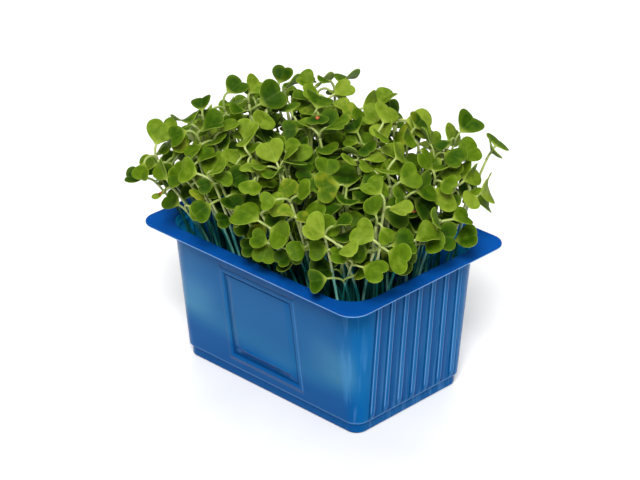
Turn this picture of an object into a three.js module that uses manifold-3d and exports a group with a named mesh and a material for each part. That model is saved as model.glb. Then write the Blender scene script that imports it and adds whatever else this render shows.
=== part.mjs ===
// A microgreens tray: a thermoformed plastic punnet with a flange and ribbed ends, the block of
// growing medium in it, and the crop of two-leaved seedlings that stands in the medium.
// Millimetres, +Z up. The origin is the middle of the tray's underside; the tray is long in X.
import * as THREE from "three";
import { mergeVertices } from "three/addons/utils/BufferGeometryUtils.js";
import Module from "manifold-3d";

const wasm = await Module();
wasm.setup();
const { Manifold, Mesh } = wasm;

// ---------------------------------------------------------------- driving dimensions

// Tray
const TRAY_LENGTH = 98;
const TRAY_WIDTH = 73.5;
const TRAY_HEIGHT = 51;
const SHEET = 0.8; // thickness of the formed sheet
const FLANGE_WIDTH = 5;
const FLANGE_RADIUS = 6.5;
const FLANGE_BEND = 1.3; // radius of the bend from the wall into the flange
const LIP_DROP = 0.2; // how far the flange's outer edge is turned down
const LIP_WIDTH = 0.5;
const FOOT_HEIGHT = 3.6;
const FOOT_STEP = 1; // width of the stacking step above the foot
const FOOT_STEP_RISE = 0.7;
const FOOT_CHAMFER = 0.9;
const FOOT_RADIUS = 4;
const WALL_TOP_INSET = FLANGE_WIDTH + FLANGE_BEND - SHEET; // the wall's outer face, from the flange's edge
const WALL_TOP_HALF = { x: TRAY_LENGTH / 2 - WALL_TOP_INSET, y: TRAY_WIDTH / 2 - WALL_TOP_INSET };
const WALL_BASE_HALF = { x: 40.3, y: 25.5 };
const END_STRAIGHT = 20.6; // half the straight stretch of an end wall; the corners take the rest
const CORNER_STEPS = 4;
const FLOOR_HUB = [4, 3]; // where the floor's triangles meet

// Ribs of the end walls
const RIBS_EACH_SIDE = 3; // on either side of the middle rib
const RIB_PITCH = 6.3;
const RIB_DEPTH = 0.5;
const RIB_TOP_HALF = 0.75;
const RIB_SLOPE = 0.7;
const RIB_TIGHTEN = 0.2; // how much closer a rib's slopes sit inside the sheet, on each side
const RIB_FADE = 2.2; // height over which a rib rises out of the wall

// Framed panel of the side walls
const PANEL_HALF = 17;
const PANEL_BOTTOM = 8;
const PANEL_TOP = 43.2;
const MOULDING_WIDTH = 1.8;
const MOULDING_BEVEL = 0.45;
const MOULDING_HEIGHT = 0.45;
const BAR_HALF = 11.5;
const BAR_LEVEL = 13.2;
const BAR_WIDTH = 1.3;
const BAR_BEVEL = 0.3;
const BAR_HEIGHT = 0.4;

// Growing medium
const GAP = 0.35; // between neighbouring pieces
const WELD = 1e-4; // points closer than this are one
const MEDIUM_TOP = 20;

// Clumps: groups of seedlings joined at the root
const CLUMP_COLUMNS = 7;
const CLUMP_ROWS = 5;
const CLUMP_HALF_X = 33.4; // middle of the outermost clumps
const CLUMP_HALF_Y = 20;
const CLUMP_STAGGER = 1;
const PLUG_RADIUS = 4;
const PLUG_DEPTH = 7.5;
const PLUG_SIDES = 6;
const SEEDLINGS_PER_CLUMP = 5;

// The crop. A pair of numbers is the range that a value is drawn from.
const FOOT_TURN = 0.3; // how far a foot strays from its even place round the clump, in places
const FOOT_REACH = [1.7, 2.7]; // a foot from its clump's middle
const SPLAY = [0.08, 0.42]; // how much further out a tip is than its foot
const CORNER_SPLAY = 0.03; // and how much more in the tray's corners
const TIP_STRAY = 6;
const CROWN_SHIFT = -3.6; // the whole crop leans this far along X and Y
const CROWN_HEIGHT = 88;
const CROWN_DROOP = 24; // how much lower the crop is at its edge
const CROWN_HALF = { x: 52, y: 40 };
const CROWN_STRAY = 4;
const SHORTEST = 27; // how far the shortest seedlings stay below the crown
const EDGE_SHORTFALL = 0.4; // how much less of that there is at the crop's edge
const LOWEST_LEAF = 56.5;
const OVERHANG_RISE = 15; // how much higher the lowest leaves are at the crop's edge

// A stem
const STEM_RADIUS = 0.72;
const STEM_TIP_SHARE = 0.9; // of the radius, at the stem's tip
const STEM_PEAK = 1.3; // height of the peak over the tip, in radii
const STEM_STEPS = [0.42, 0.76, 1]; // where the stem's rings are, of its height
const STEM_BEND = 1.9; // the higher, the later a stem leans out
const STEM_SWAY = 1.6;
const ROOT_DEPTH = 1.5; // how far a stem is sunk in its plug
const LEAN = [0.4, 1.2]; // how much a seedling's top leans outwards at the crop's edge
const LEAN_STRAY = 0.5;
const LIGHT_TURN = 0.25; // how much every top turns towards +X and -Y, where the light comes from

// A seed leaf; angles in radians
const PETIOLE_RADIUS = 0.55;
const PETIOLE_RISE = [0.55, 1.2];
const PETIOLE_LENGTH = [2.8, 6.2];
const BLADE_LEVEL = [-0.35, 0.7]; // how far the blade then points up
const BLADE_ROLL = 0.6;
const BLADE_LENGTH = [5.6, 8.3];
const SECOND_BLADE = [0.72, 0.98]; // its length over the first one's
const BLADE_WIDTH = 1.22; // over its length, as the rest of the blade's measures are
const BLADE_CUP = 0.12; // rise of the blade's sides
// Points of a blade's side: along it, across as a share of half the width, rise as a share of the cup
const BLADE_SIDE = [[0.3, 0.56, 0.5], [0.64, 1, 1], [0.98, 0.54, 0.6]];
const BLADE_NOTCH = [0.86, 0, 0.01];
const BLADE_MIDDLE = 0.5;
const BLADE_THICKNESS = 0.7; // in millimetres

// Balls that keep the seedlings apart: their radii, and rows over a blade as along, half spread, count
const STEM_BALL = 0.95;
const PETIOLE_BALL = 0.85;
const BLADE_BALL = 0.12; // over the blade's length
const BLADE_BALL_RISE = 0.05;
const BALL_SPACING = 2;
const BLADE_ROWS = [[0.15, 0, 1], [0.34, 0.22, 3], [0.54, 0.46, 5], [0.74, 0.5, 5], [0.92, 0.36, 4]];
const LEAF_REACH = 0.9; // where a leaf's lowest point is looked for, along its blade
const TRIES = 900;
const FIRST_SEED = 388;

// ---------------------------------------------------------------- small helpers

const add = (a, b, scale = 1) => [a[0] + b[0] * scale, a[1] + b[1] * scale, a[2] + b[2] * scale];
const scaled = (a, scale) => [a[0] * scale, a[1] * scale, a[2] * scale];
const cross = (a, b) => [a[1] * b[2] - a[2] * b[1], a[2] * b[0] - a[0] * b[2], a[0] * b[1] - a[1] * b[0]];
const dot = (a, b) => a[0] * b[0] + a[1] * b[1] + a[2] * b[2];
const unit = (a) => scaled(a, 1 / Math.sqrt(dot(a, a)));

// A seeded draw from 0 to 1
let seed = FIRST_SEED;
function draw() {
  seed = (Math.imul(seed, 1664525) + 1013904223) >>> 0;
  return seed / 2 ** 32;
}
const between = ([low, high]) => low + (high - low) * draw();
const around = (spread) => between([-spread, spread]);

// A closed body through rings of equally many points, run from its first end cap to its last.
// Rings turn anticlockwise seen from where the loft goes. A hub is the middle point of a cap.
function loft(rings, firstHub, lastHub) {
  const count = rings[0].length;
  const points = rings.flat();
  const faces = [];
  for (let level = 0; level + 1 < rings.length; level += 1) {
    for (let step = 0; step < count; step += 1) {
      const here = level * count + step;
      const next = level * count + ((step + 1) % count);
      faces.push(here, next, next + count, here, next + count, here + count);
    }
  }
  const last = (rings.length - 1) * count;
  for (const [hub, start, turn] of [[firstHub, 0, -1], [lastHub, last, 1]]) {
    const centre = points.length;
    if (hub) points.push(hub);
    for (let step = hub ? 0 : 1; step < (hub ? count : count - 1); step += 1) {
      const corner = hub ? centre : start;
      const edge = [start + step, start + ((step + 1) % count)];
      faces.push(corner, ...(turn > 0 ? edge : edge.reverse()));
    }
  }
  return solid(points, faces);
}

function solid(points, faces) {
  const mesh = new Mesh({
    numProp: 3,
    vertProperties: new Float32Array(points.flat()),
    triVerts: new Uint32Array(faces),
  });
  mesh.merge();
  return new Manifold(mesh);
}

// A three.js geometry as a solid
function solidOf(geometry) {
  const bare = geometry.clone();
  bare.deleteAttribute("normal");
  bare.deleteAttribute("uv");
  const merged = mergeVertices(bare, WELD);
  const mesh = new Mesh({
    numProp: 3,
    vertProperties: new Float32Array(merged.attributes.position.array),
    triVerts: new Uint32Array(merged.index.array),
  });
  return new Manifold(mesh);
}

function joined(solids) {
  return solids.reduce((whole, piece) => whole.add(piece));
}

function meshOf(name, body, material) {
  const { vertProperties, triVerts } = body.getMesh();
  const geometry = new THREE.BufferGeometry();
  geometry.setAttribute("position", new THREE.BufferAttribute(vertProperties, 3));
  geometry.setIndex(new THREE.BufferAttribute(triVerts, 1));
  geometry.computeVertexNormals();
  const mesh = new THREE.Mesh(geometry, material);
  mesh.name = name;
  return mesh;
}

// ---------------------------------------------------------------- tray

// Half length and half width of the wall's outer face at a height
function wallHalf(z, inwards = 0) {
  const base = FOOT_HEIGHT + FOOT_STEP_RISE;
  const rise = (z - base) / (TRAY_HEIGHT - FLANGE_BEND - base);
  return {
    x: WALL_BASE_HALF.x + (WALL_TOP_HALF.x - WALL_BASE_HALF.x) * rise - inwards,
    y: WALL_BASE_HALF.y + (WALL_TOP_HALF.y - WALL_BASE_HALF.y) * rise - inwards,
  };
}

// One level of the tray: a round-cornered rectangle whose two ends may carry ribs.
// Inside the sheet the ribs' slopes sit closer together, by `tighten` on each side.
function trayRing(half, z, radius, ribDepth = 0, tighten = 0) {
  const squeeze = Math.min(1, (half.y - radius) / END_STRAIGHT);
  const end = [];
  for (let rib = -RIBS_EACH_SIDE; rib <= RIBS_EACH_SIDE; rib += 1) {
    const foot = RIB_TOP_HALF + RIB_SLOPE - tighten;
    const top = RIB_TOP_HALF - tighten;
    for (const [offset, depth] of [[-foot, 0], [-top, ribDepth], [top, ribDepth], [foot, 0]]) {
      end.push([half.x + depth, (rib * RIB_PITCH + offset) * squeeze, z]);
    }
  }
  const points = [];
  const quarters = [[1, 1], [-1, 1], [-1, -1], [1, -1]];
  quarters.forEach(([signX, signY], quarter) => {
    if (quarter === 0) points.push(...end);
    if (quarter === 2) points.push(...end.map(([x, y]) => [-x, -y, z]));
    for (let step = 0; step <= CORNER_STEPS; step += 1) {
      const angle = (quarter + step / CORNER_STEPS) * Math.PI / 2;
      const x = signX * (half.x - radius) + radius * Math.cos(angle);
      const y = signY * (half.y - radius) + radius * Math.sin(angle);
      points.push([x, y, z]);
    }
  });
  return points;
}

function wallRing(z, inwards, ribDepth) {
  const half = wallHalf(z, inwards);
  const tighten = inwards > 0 ? RIB_TIGHTEN : 0;
  return trayRing(half, z, half.y - END_STRAIGHT, ribDepth, tighten);
}

function trayShell() {
  const base = WALL_BASE_HALF;
  const foot = { x: base.x - FOOT_STEP, y: base.y - FOOT_STEP };
  const smaller = (half, by) => ({ x: half.x - by, y: half.y - by });
  const flange = { x: TRAY_LENGTH / 2, y: TRAY_WIDTH / 2 };
  const opening = smaller(flange, FLANGE_WIDTH);
  const openingRadius = opening.y - END_STRAIGHT;
  const stepTop = FOOT_HEIGHT + FOOT_STEP_RISE;
  const bendStart = TRAY_HEIGHT - SHEET - FLANGE_BEND;
  const ribsFrom = stepTop + RIB_FADE;
  const ribsTo = bendStart - RIB_FADE / 2;
  const underside = TRAY_HEIGHT - SHEET;
  const outside = [
    trayRing(smaller(foot, FOOT_CHAMFER), 0, FOOT_RADIUS - FOOT_CHAMFER / 2),
    trayRing(foot, FOOT_CHAMFER, FOOT_RADIUS),
    trayRing(foot, FOOT_HEIGHT, FOOT_RADIUS),
    wallRing(stepTop, 0, 0),
    wallRing(ribsFrom, 0, RIB_DEPTH),
    wallRing(ribsTo, 0, RIB_DEPTH),
    wallRing(bendStart, 0, 0),
    trayRing(smaller(opening, -SHEET / 2), underside, openingRadius),
    trayRing(smaller(flange, LIP_WIDTH), underside, FLANGE_RADIUS - LIP_WIDTH),
    trayRing(smaller(flange, LIP_WIDTH / 2), underside - LIP_DROP, FLANGE_RADIUS - LIP_WIDTH / 2),
    trayRing(flange, underside - LIP_DROP, FLANGE_RADIUS),
    trayRing(flange, TRAY_HEIGHT - LIP_DROP, FLANGE_RADIUS),
    trayRing(smaller(flange, LIP_WIDTH), TRAY_HEIGHT, FLANGE_RADIUS - LIP_WIDTH),
  ];
  const inside = [
    trayRing(opening, TRAY_HEIGHT, openingRadius),
    wallRing(TRAY_HEIGHT - FLANGE_BEND, SHEET, 0),
    wallRing(ribsTo, SHEET, RIB_DEPTH),
    wallRing(ribsFrom + SHEET / 2, SHEET, RIB_DEPTH),
    wallRing(stepTop + SHEET / 2, SHEET, 0),
    trayRing(smaller(foot, SHEET), FOOT_HEIGHT + SHEET / 2, FOOT_RADIUS - SHEET),
    trayRing(smaller(foot, SHEET), FOOT_CHAMFER + SHEET / 2, FOOT_RADIUS - SHEET),
    trayRing(smaller(foot, SHEET + FOOT_CHAMFER), SHEET, FOOT_RADIUS - SHEET),
  ];
  return loft([...outside, ...inside], [...FLOOR_HUB, 0], [...FLOOR_HUB, SHEET]);
}

// A block whose four sides slope evenly from one rectangle to another, from -sink to height
function slopedBlock(halfX, halfV, slope, sink, height) {
  const level = (grow, depth) => [
    [halfX + grow, -halfV - grow, depth],
    [halfX + grow, halfV + grow, depth],
    [-halfX - grow, halfV + grow, depth],
    [-halfX - grow, -halfV - grow, depth],
  ];
  const run = slope * (sink / height);
  return loft([level(slope + run, -sink), level(0, height)]);
}

// The raised frame and short bar of a side wall, laid on the wall's slope
function panelFrame() {
  const halfV = (PANEL_TOP - PANEL_BOTTOM) / 2;
  const sink = SHEET / 2;
  const outerX = PANEL_HALF - MOULDING_BEVEL;
  const outer = slopedBlock(outerX, halfV - MOULDING_BEVEL, MOULDING_BEVEL, sink, MOULDING_HEIGHT);
  const inset = MOULDING_WIDTH - MOULDING_BEVEL;
  const cut = 2 * MOULDING_HEIGHT;
  const inner = slopedBlock(PANEL_HALF - inset, halfV - inset, -MOULDING_BEVEL, SHEET, cut);
  const bar = slopedBlock(BAR_HALF, BAR_WIDTH / 2 - BAR_BEVEL, BAR_BEVEL, sink, BAR_HEIGHT);
  const middle = (PANEL_TOP + PANEL_BOTTOM) / 2;
  const placed = outer.subtract(inner).add(bar.translate([0, BAR_LEVEL - middle, 0]));
  const climb = TRAY_HEIGHT - FLANGE_BEND - FOOT_HEIGHT - FOOT_STEP_RISE;
  const slope = Math.atan2(WALL_TOP_HALF.y - WALL_BASE_HALF.y, climb);
  const turned = placed.rotate([90 + THREE.MathUtils.radToDeg(slope), 0, 0]);
  return turned.translate([0, -wallHalf(middle).y, middle]);
}

function makeTray() {
  const front = panelFrame();
  return trayShell().add(front).add(front.rotate([0, 0, 180]));
}

// ---------------------------------------------------------------- growing medium and clumps

function clumpCentres() {
  const centres = [];
  for (let row = 0; row < CLUMP_ROWS; row += 1) {
    for (let column = 0; column < CLUMP_COLUMNS; column += 1) {
      const shift = row % 2 === 0 ? CLUMP_STAGGER : -CLUMP_STAGGER;
      const x = (2 * column / (CLUMP_COLUMNS - 1) - 1) * CLUMP_HALF_X + shift;
      const y = (2 * row / (CLUMP_ROWS - 1) - 1) * CLUMP_HALF_Y;
      centres.push([x, y]);
    }
  }
  return centres;
}

function prism(centre, radius, low, high) {
  const geometry = new THREE.CylinderGeometry(radius, radius, high - low, PLUG_SIDES);
  geometry.rotateX(Math.PI / 2);
  geometry.translate(centre[0], centre[1], (low + high) / 2);
  return solidOf(geometry);
}

function makeMedium() {
  const clear = SHEET + GAP;
  const stepTop = FOOT_HEIGHT + FOOT_STEP_RISE + SHEET;
  const floor = SHEET + GAP;
  const foot = { x: WALL_BASE_HALF.x - FOOT_STEP - clear, y: WALL_BASE_HALF.y - FOOT_STEP - clear };
  const edge = { x: foot.x - FOOT_CHAMFER, y: foot.y - FOOT_CHAMFER };
  const upper = (z) => {
    const half = wallHalf(z, clear);
    return trayRing(half, z, half.y - END_STRAIGHT);
  };
  const rings = [
    trayRing(edge, floor, FOOT_RADIUS),
    trayRing(foot, FOOT_CHAMFER + floor, FOOT_RADIUS),
    trayRing(foot, FOOT_HEIGHT + SHEET / 2, FOOT_RADIUS),
    upper(stepTop),
    upper(MEDIUM_TOP),
  ];
  const plain = rings.map((ring) => ring.filter((point, index) => !isRibPoint(index)));
  const block = loft(plain);
  const holes = clumpCentres().map((centre) =>
    prism(centre, PLUG_RADIUS + GAP, MEDIUM_TOP - PLUG_DEPTH - GAP, MEDIUM_TOP + GAP));
  return block.subtract(joined(holes));
}

// Whether a point of a tray ring belongs to a rib
function isRibPoint(index) {
  const perEnd = 4 * (2 * RIBS_EACH_SIDE + 1);
  const perCorner = CORNER_STEPS + 1;
  const half = perEnd + 2 * perCorner;
  return index % half < perEnd;
}

// ---------------------------------------------------------------- where the seedlings stand

// Balls that stand for what is already placed, in a grid of cells
const CELL = 4;
const CELLS_ALONG = 512; // more than the grid has on any side
const placedBalls = new Map();
const cellKey = (i, j, k) => (i * CELLS_ALONG + j) * CELLS_ALONG + k;

function isFree(ball) {
  const [x, y, z, radius] = ball;
  const cell = [x, y, z].map((value) => Math.floor(value / CELL));
  for (let i = cell[0] - 1; i <= cell[0] + 1; i += 1) {
    for (let j = cell[1] - 1; j <= cell[1] + 1; j += 1) {
      for (let k = cell[2] - 1; k <= cell[2] + 1; k += 1) {
        for (const other of placedBalls.get(cellKey(i, j, k)) ?? []) {
          const [dx, dy, dz] = [x - other[0], y - other[1], z - other[2]];
          const reach = radius + other[3];
          if (dx * dx + dy * dy + dz * dz < reach * reach) return false;
        }
      }
    }
  }
  return true;
}

function keep(ball) {
  const key = cellKey(...ball.slice(0, 3).map((value) => Math.floor(value / CELL)));
  if (!placedBalls.has(key)) placedBalls.set(key, []);
  placedBalls.get(key).push(ball);
}

// Whether a ball is above the flange or inside the opening
function clearsTray([x, y, z, radius]) {
  if (z - radius > TRAY_HEIGHT + GAP) return true;
  const half = wallHalf(Math.min(z, TRAY_HEIGHT - FLANGE_BEND), SHEET + radius);
  const corner = half.y - END_STRAIGHT + radius;
  const overX = Math.abs(x) - (half.x - corner);
  const overY = Math.abs(y) - (half.y - corner);
  if (Math.abs(x) > half.x || Math.abs(y) > half.y) return false;
  return overX < 0 || overY < 0 || overX * overX + overY * overY < corner * corner;
}

function stemPoint(seedling, t) {
  const lean = t ** STEM_BEND;
  const sway = Math.sin(Math.PI * t);
  return [
    seedling.foot[0] + (seedling.tip[0] - seedling.foot[0]) * lean + seedling.sway[0] * sway,
    seedling.foot[1] + (seedling.tip[1] - seedling.foot[1]) * lean + seedling.sway[1] * sway,
    seedling.foot[2] + (seedling.tip[2] - seedling.foot[2]) * t,
  ];
}

// A point of a blade: along its midrib, across it and above it, in blade lengths
function bladePoint(leaf, along, across, above) {
  const sideways = add(scaled(leaf.along, along * leaf.length), leaf.across, across * leaf.length);
  return add(leaf.base, add(sideways, leaf.up, above * leaf.length));
}

// One cotyledon: it rises from the stem's tip on its petiole and then levels out
function drawLeaf(tip, normal, outwards, largest) {
  const rise = between(PETIOLE_RISE);
  const petiole = between(PETIOLE_LENGTH);
  const level = between(BLADE_LEVEL);
  const roll = around(BLADE_ROLL);
  const length = between(BLADE_LENGTH) * largest;
  const base = add(add(tip, outwards, petiole * Math.cos(rise)), normal, petiole * Math.sin(rise));
  const along = add(scaled(outwards, Math.cos(level)), normal, Math.sin(level));
  const flatUp = add(scaled(normal, Math.cos(level)), outwards, -Math.sin(level));
  const flatAcross = cross(along, flatUp);
  const across = add(scaled(flatAcross, Math.cos(roll)), flatUp, Math.sin(roll));
  const up = add(scaled(flatUp, Math.cos(roll)), flatAcross, -Math.sin(roll));
  return { base, along, across, up, length };
}

// A seedling with its foot near a clump's middle. Stems lean out more towards the tray's edge,
// the crop is lower there, and some seedlings stay below the others everywhere.
function drawSeedling(centre, slot) {
  const angle = (slot + around(FOOT_TURN)) * Math.PI * 2 / SEEDLINGS_PER_CLUMP;
  const reach = between(FOOT_REACH);
  const foot = [centre[0] + reach * Math.cos(angle), centre[1] + reach * Math.sin(angle), MEDIUM_TOP];
  const inCorner = Math.abs(centre[0] * centre[1]) / (CLUMP_HALF_X * CLUMP_HALF_Y);
  const splay = 1 + between(SPLAY) + CORNER_SPLAY * inCorner;
  const tip = [...foot.slice(0, 2).map((value) => value * splay + CROWN_SHIFT + around(TIP_STRAY)), 0];
  const out = [tip[0] / CROWN_HALF.x, tip[1] / CROWN_HALF.y];
  const edge = Math.max(out[0] * out[0], out[1] * out[1]);
  const short = draw();
  const shortfall = SHORTEST * short * short * (1 - EDGE_SHORTFALL * edge);
  tip[2] = CROWN_HEIGHT - CROWN_DROOP * edge * edge - shortfall + around(CROWN_STRAY);
  const sway = [around(STEM_SWAY), around(STEM_SWAY)];
  const lean = between(LEAN) * edge;
  const normal = unit([
    out[0] * lean + LIGHT_TURN + around(LEAN_STRAY),
    out[1] * lean - LIGHT_TURN + around(LEAN_STRAY),
    1,
  ]);
  const turn = between([0, Math.PI]);
  const level = [Math.cos(turn), Math.sin(turn), 0];
  const outwards = unit(add(level, normal, -dot(level, normal)));
  const leaves = [
    drawLeaf(tip, normal, outwards, 1),
    drawLeaf(tip, normal, scaled(outwards, -1), between(SECOND_BLADE)),
  ];
  return { foot, tip, edge, sway, normal, outwards, leaves };
}

// Balls along the stem and petioles and over the blades
function seedlingBalls(seedling) {
  const balls = [];
  const line = (from, to, radius) => {
    const way = add(to, from, -1);
    const count = Math.max(1, Math.ceil(Math.sqrt(dot(way, way)) / BALL_SPACING));
    for (let step = 0; step <= count; step += 1) {
      balls.push([...add(from, way, step / count), radius]);
    }
  };
  const stops = [seedling.foot, ...STEM_STEPS.map((t) => stemPoint(seedling, t))];
  for (let step = 0; step + 1 < stops.length; step += 1) line(stops[step], stops[step + 1], STEM_BALL);
  for (const leaf of seedling.leaves) {
    line(seedling.tip, leaf.base, PETIOLE_BALL);
    for (const [along, spread, count] of BLADE_ROWS) {
      for (let spot = 0; spot < count; spot += 1) {
        const across = count > 1 ? spread * (2 * spot / (count - 1) - 1) : 0;
        balls.push([...bladePoint(leaf, along, across, BLADE_BALL_RISE), leaf.length * BLADE_BALL]);
      }
    }
  }
  return balls;
}

function fits(seedling, balls) {
  const lowest = Math.min(...seedling.leaves.map((leaf) => bladePoint(leaf, LEAF_REACH, 0, 0)[2]));
  const limit = LOWEST_LEAF + OVERHANG_RISE * seedling.edge;
  return lowest > limit && balls.every((ball) => clearsTray(ball) && isFree(ball));
}

// The first seedling of the draw that touches nothing already placed
function placeSeedling(centre, slot) {
  for (let attempt = 0; attempt < TRIES; attempt += 1) {
    const seedling = drawSeedling(centre, slot);
    const balls = seedlingBalls(seedling);
    if (fits(seedling, balls)) {
      balls.forEach(keep);
      return seedling;
    }
  }
  return null;
}

function placeSeedlings() {
  const clumps = clumpCentres().map((centre) => ({ centre, seedlings: [] }));
  for (let slot = 0; slot < SEEDLINGS_PER_CLUMP; slot += 1) {
    for (const clump of clumps) {
      const seedling = placeSeedling(clump.centre, slot);
      if (seedling) clump.seedlings.push(seedling);
    }
  }
  return clumps;
}

// ---------------------------------------------------------------- seedlings as solids

// The corners of a triangle, as angles, anticlockwise
const TRIANGLE = [-30, 90, 210].map(THREE.MathUtils.degToRad);

// Three points round a centre, anticlockwise about `along`, with a side towards `facing`
function triangleRing(centre, along, facing, radius) {
  const a = unit(add(facing, along, -dot(facing, along)));
  const b = cross(along, a);
  return TRIANGLE.map((angle) =>
    add(add(centre, a, radius * Math.cos(angle)), b, radius * Math.sin(angle)));
}

// Where a petiole's last ring has its corners, across the blade and above it
const PETIOLE_END = [[0.87, -0.5], [-0.87, -0.5], [0, 1]];

// A seedling is one closed mesh. The stem is a three-sided tube that ends in a peak. A petiole grows
// out of two of the peak's three faces, and its end ring runs on into the edge of a blade.
function seedlingSolid(seedling) {
  const points = [];
  const faces = [];
  const put = (...more) => {
    points.push(...more);
    return more.map((unused, index) => points.length - more.length + index);
  };
  const wall = (from, to) => {
    for (let side = 0; side < 3; side += 1) {
      const next = (side + 1) % 3;
      faces.push(from[side], from[next], to[next], from[side], to[next], to[side]);
    }
  };

  const stops = [add(seedling.foot, [0, 0, -ROOT_DEPTH]), ...STEM_STEPS.map((t) => stemPoint(seedling, t))];
  const [firstLeaf, secondLeaf] = seedling.leaves;
  const rings = stops.map((stop, index) => {
    const before = stops[Math.max(index - 1, 0)];
    const after = stops[Math.min(index + 1, stops.length - 1)];
    const radius = STEM_RADIUS * (index < stops.length - 1 ? 1 : STEM_TIP_SHARE);
    return put(...triangleRing(stop, unit(add(after, before, -1)), seedling.outwards, radius));
  });
  faces.push(...[...rings[0]].reverse());
  for (let index = 0; index + 1 < rings.length; index += 1) wall(rings[index], rings[index + 1]);

  const [near, middle, far] = rings[rings.length - 1];
  const [peak] = put(add(seedling.tip, seedling.normal, STEM_RADIUS * STEM_PEAK));
  faces.push(far, near, peak);
  for (const [leaf, socket] of [[firstLeaf, [near, middle, peak]], [secondLeaf, [middle, far, peak]]]) {
    const end = put(...PETIOLE_END.map(([across, up]) =>
      add(add(leaf.base, leaf.across, across * PETIOLE_RADIUS), leaf.up, up * PETIOLE_RADIUS)));
    wall(socket, end);
    addBlade(leaf, end, put, faces);
  }
  return solid(points, faces);
}

// The two-lobed blade: seven points round its edge beyond the petiole, and one in each face's middle
function addBlade(leaf, [left, right, top], put, faces) {
  const half = BLADE_WIDTH / 2;
  const oneSide = BLADE_SIDE.map(([along, across, rise]) => [along, across * half, rise * BLADE_CUP]);
  const otherSide = oneSide.map(([along, across, rise]) => [along, -across, rise]).reverse();
  const edge = [...oneSide, BLADE_NOTCH, ...otherSide].map((spot) => bladePoint(leaf, ...spot));
  const loop = [left, ...put(...edge), right];
  const thick = BLADE_THICKNESS / 2 / leaf.length;
  const [upper, lower] = put(...[thick, -thick].map((rise) => bladePoint(leaf, BLADE_MIDDLE, 0, rise)));
  for (let index = 0; index + 1 < loop.length; index += 1) {
    faces.push(upper, loop[index], loop[index + 1], lower, loop[index + 1], loop[index]);
  }
  faces.push(upper, right, top, upper, top, left, lower, left, right);
}

function makeClump({ centre, seedlings }) {
  const plug = prism(centre, PLUG_RADIUS, MEDIUM_TOP - PLUG_DEPTH, MEDIUM_TOP);
  return joined([plug, ...seedlings.map(seedlingSolid)]);
}

// ---------------------------------------------------------------- materials and the group

const plastic = new THREE.MeshStandardMaterial({ color: 0x1257a8, roughness: 0.3, metalness: 0 });
const peat = new THREE.MeshStandardMaterial({ color: 0x3b2a1c, roughness: 1, metalness: 0 });
const leafGreens = [0x7fa128, 0x8caa2c, 0x6d9226, 0x95b236];

const group = new THREE.Group();
group.add(meshOf("tray", makeTray(), plastic));
group.add(meshOf("growing_medium", makeMedium(), peat));
placeSeedlings().forEach((clump, index) => {
  const color = leafGreens[index % leafGreens.length];
  const green = new THREE.MeshStandardMaterial({ color, roughness: 0.55, metalness: 0 });
  const name = `seedlings_${String(index + 1).padStart(2, "0")}`;
  group.add(meshOf(name, makeClump(clump), green));
});

export default group;
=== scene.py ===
"""Looks of the microgreens tray: a blue formed tray, its growing medium and a crop of seedlings.

Sizes are in millimetres until mesh_object() and the helpers of Nodes turn them into metres. +Z is
up, and the origin is the middle of the tray's underside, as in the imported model. The seedlings of
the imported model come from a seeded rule, which is repeated here and then carried on for the crop's
thinner seedlings.
"""
import itertools
import math

import bpy
import numpy as np
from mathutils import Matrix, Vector


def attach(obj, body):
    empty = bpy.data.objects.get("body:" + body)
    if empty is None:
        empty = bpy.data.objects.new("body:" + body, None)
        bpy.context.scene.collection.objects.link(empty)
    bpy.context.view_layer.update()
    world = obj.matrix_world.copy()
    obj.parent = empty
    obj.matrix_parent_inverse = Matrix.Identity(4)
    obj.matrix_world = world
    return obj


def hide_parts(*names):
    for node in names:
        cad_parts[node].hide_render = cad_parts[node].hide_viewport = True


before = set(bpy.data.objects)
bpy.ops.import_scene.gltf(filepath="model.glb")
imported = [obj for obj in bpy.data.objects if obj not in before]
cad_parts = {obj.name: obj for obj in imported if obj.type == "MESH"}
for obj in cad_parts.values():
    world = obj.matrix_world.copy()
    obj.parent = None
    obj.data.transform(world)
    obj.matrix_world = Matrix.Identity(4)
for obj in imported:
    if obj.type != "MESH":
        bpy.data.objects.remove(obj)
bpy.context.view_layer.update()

MM = 0.001

# ---- dimensions shared with the solids

TRAY_LENGTH = 98.0
TRAY_WIDTH = 73.5
TRAY_HEIGHT = 51.0
SHEET = 0.8
FLANGE_WIDTH = 5.0
FLANGE_RADIUS = 6.5
FLANGE_BEND = 1.3
LIP_DROP = 0.2
LIP_WIDTH = 0.5
FOOT_HEIGHT = 3.6
FOOT_STEP = 1.0
FOOT_STEP_RISE = 0.7
FOOT_CHAMFER = 0.9
FOOT_RADIUS = 4.0
WALL_TOP_HALF = (43.5, 31.25)
WALL_BASE_HALF = (40.3, 25.5)
END_STRAIGHT = 20.6

RIBS_EACH_SIDE = 3
RIB_PITCH = 6.3
RIB_DEPTH = 0.5
RIB_TIGHTEN = 0.2
RIB_FADE = 2.2

PANEL_HALF = 17.0
PANEL_BOTTOM = 8.0
PANEL_TOP = 43.2
BAR_HALF = 11.5
BAR_LEVEL = 13.2
BAR_WIDTH = 1.3
BAR_RISE = 0.4

GAP = 0.35
MEDIUM_TOP = 20.0

CLUMP_COLUMNS = 7
CLUMP_ROWS = 5
CLUMP_HALF_X = 33.4
CLUMP_HALF_Y = 20.0
CLUMP_STAGGER = 1.0
SEEDLINGS_PER_CLUMP = 5

# The rule of a seedling, as in the solids: how its stem stands
FOOT_TURN = 0.3
FOOT_REACH = (1.7, 2.7)
SPLAY = (0.08, 0.42)
CORNER_SPLAY = 0.03
TIP_STRAY = 6.0
CROWN_SHIFT = -3.6
CROWN_HEIGHT = 88.0
CROWN_DROOP = 24.0
CROWN_HALF = (52.0, 40.0)
CROWN_STRAY = 4.0
SHORTEST = 27.0
EDGE_SHORTFALL = 0.4
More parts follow.
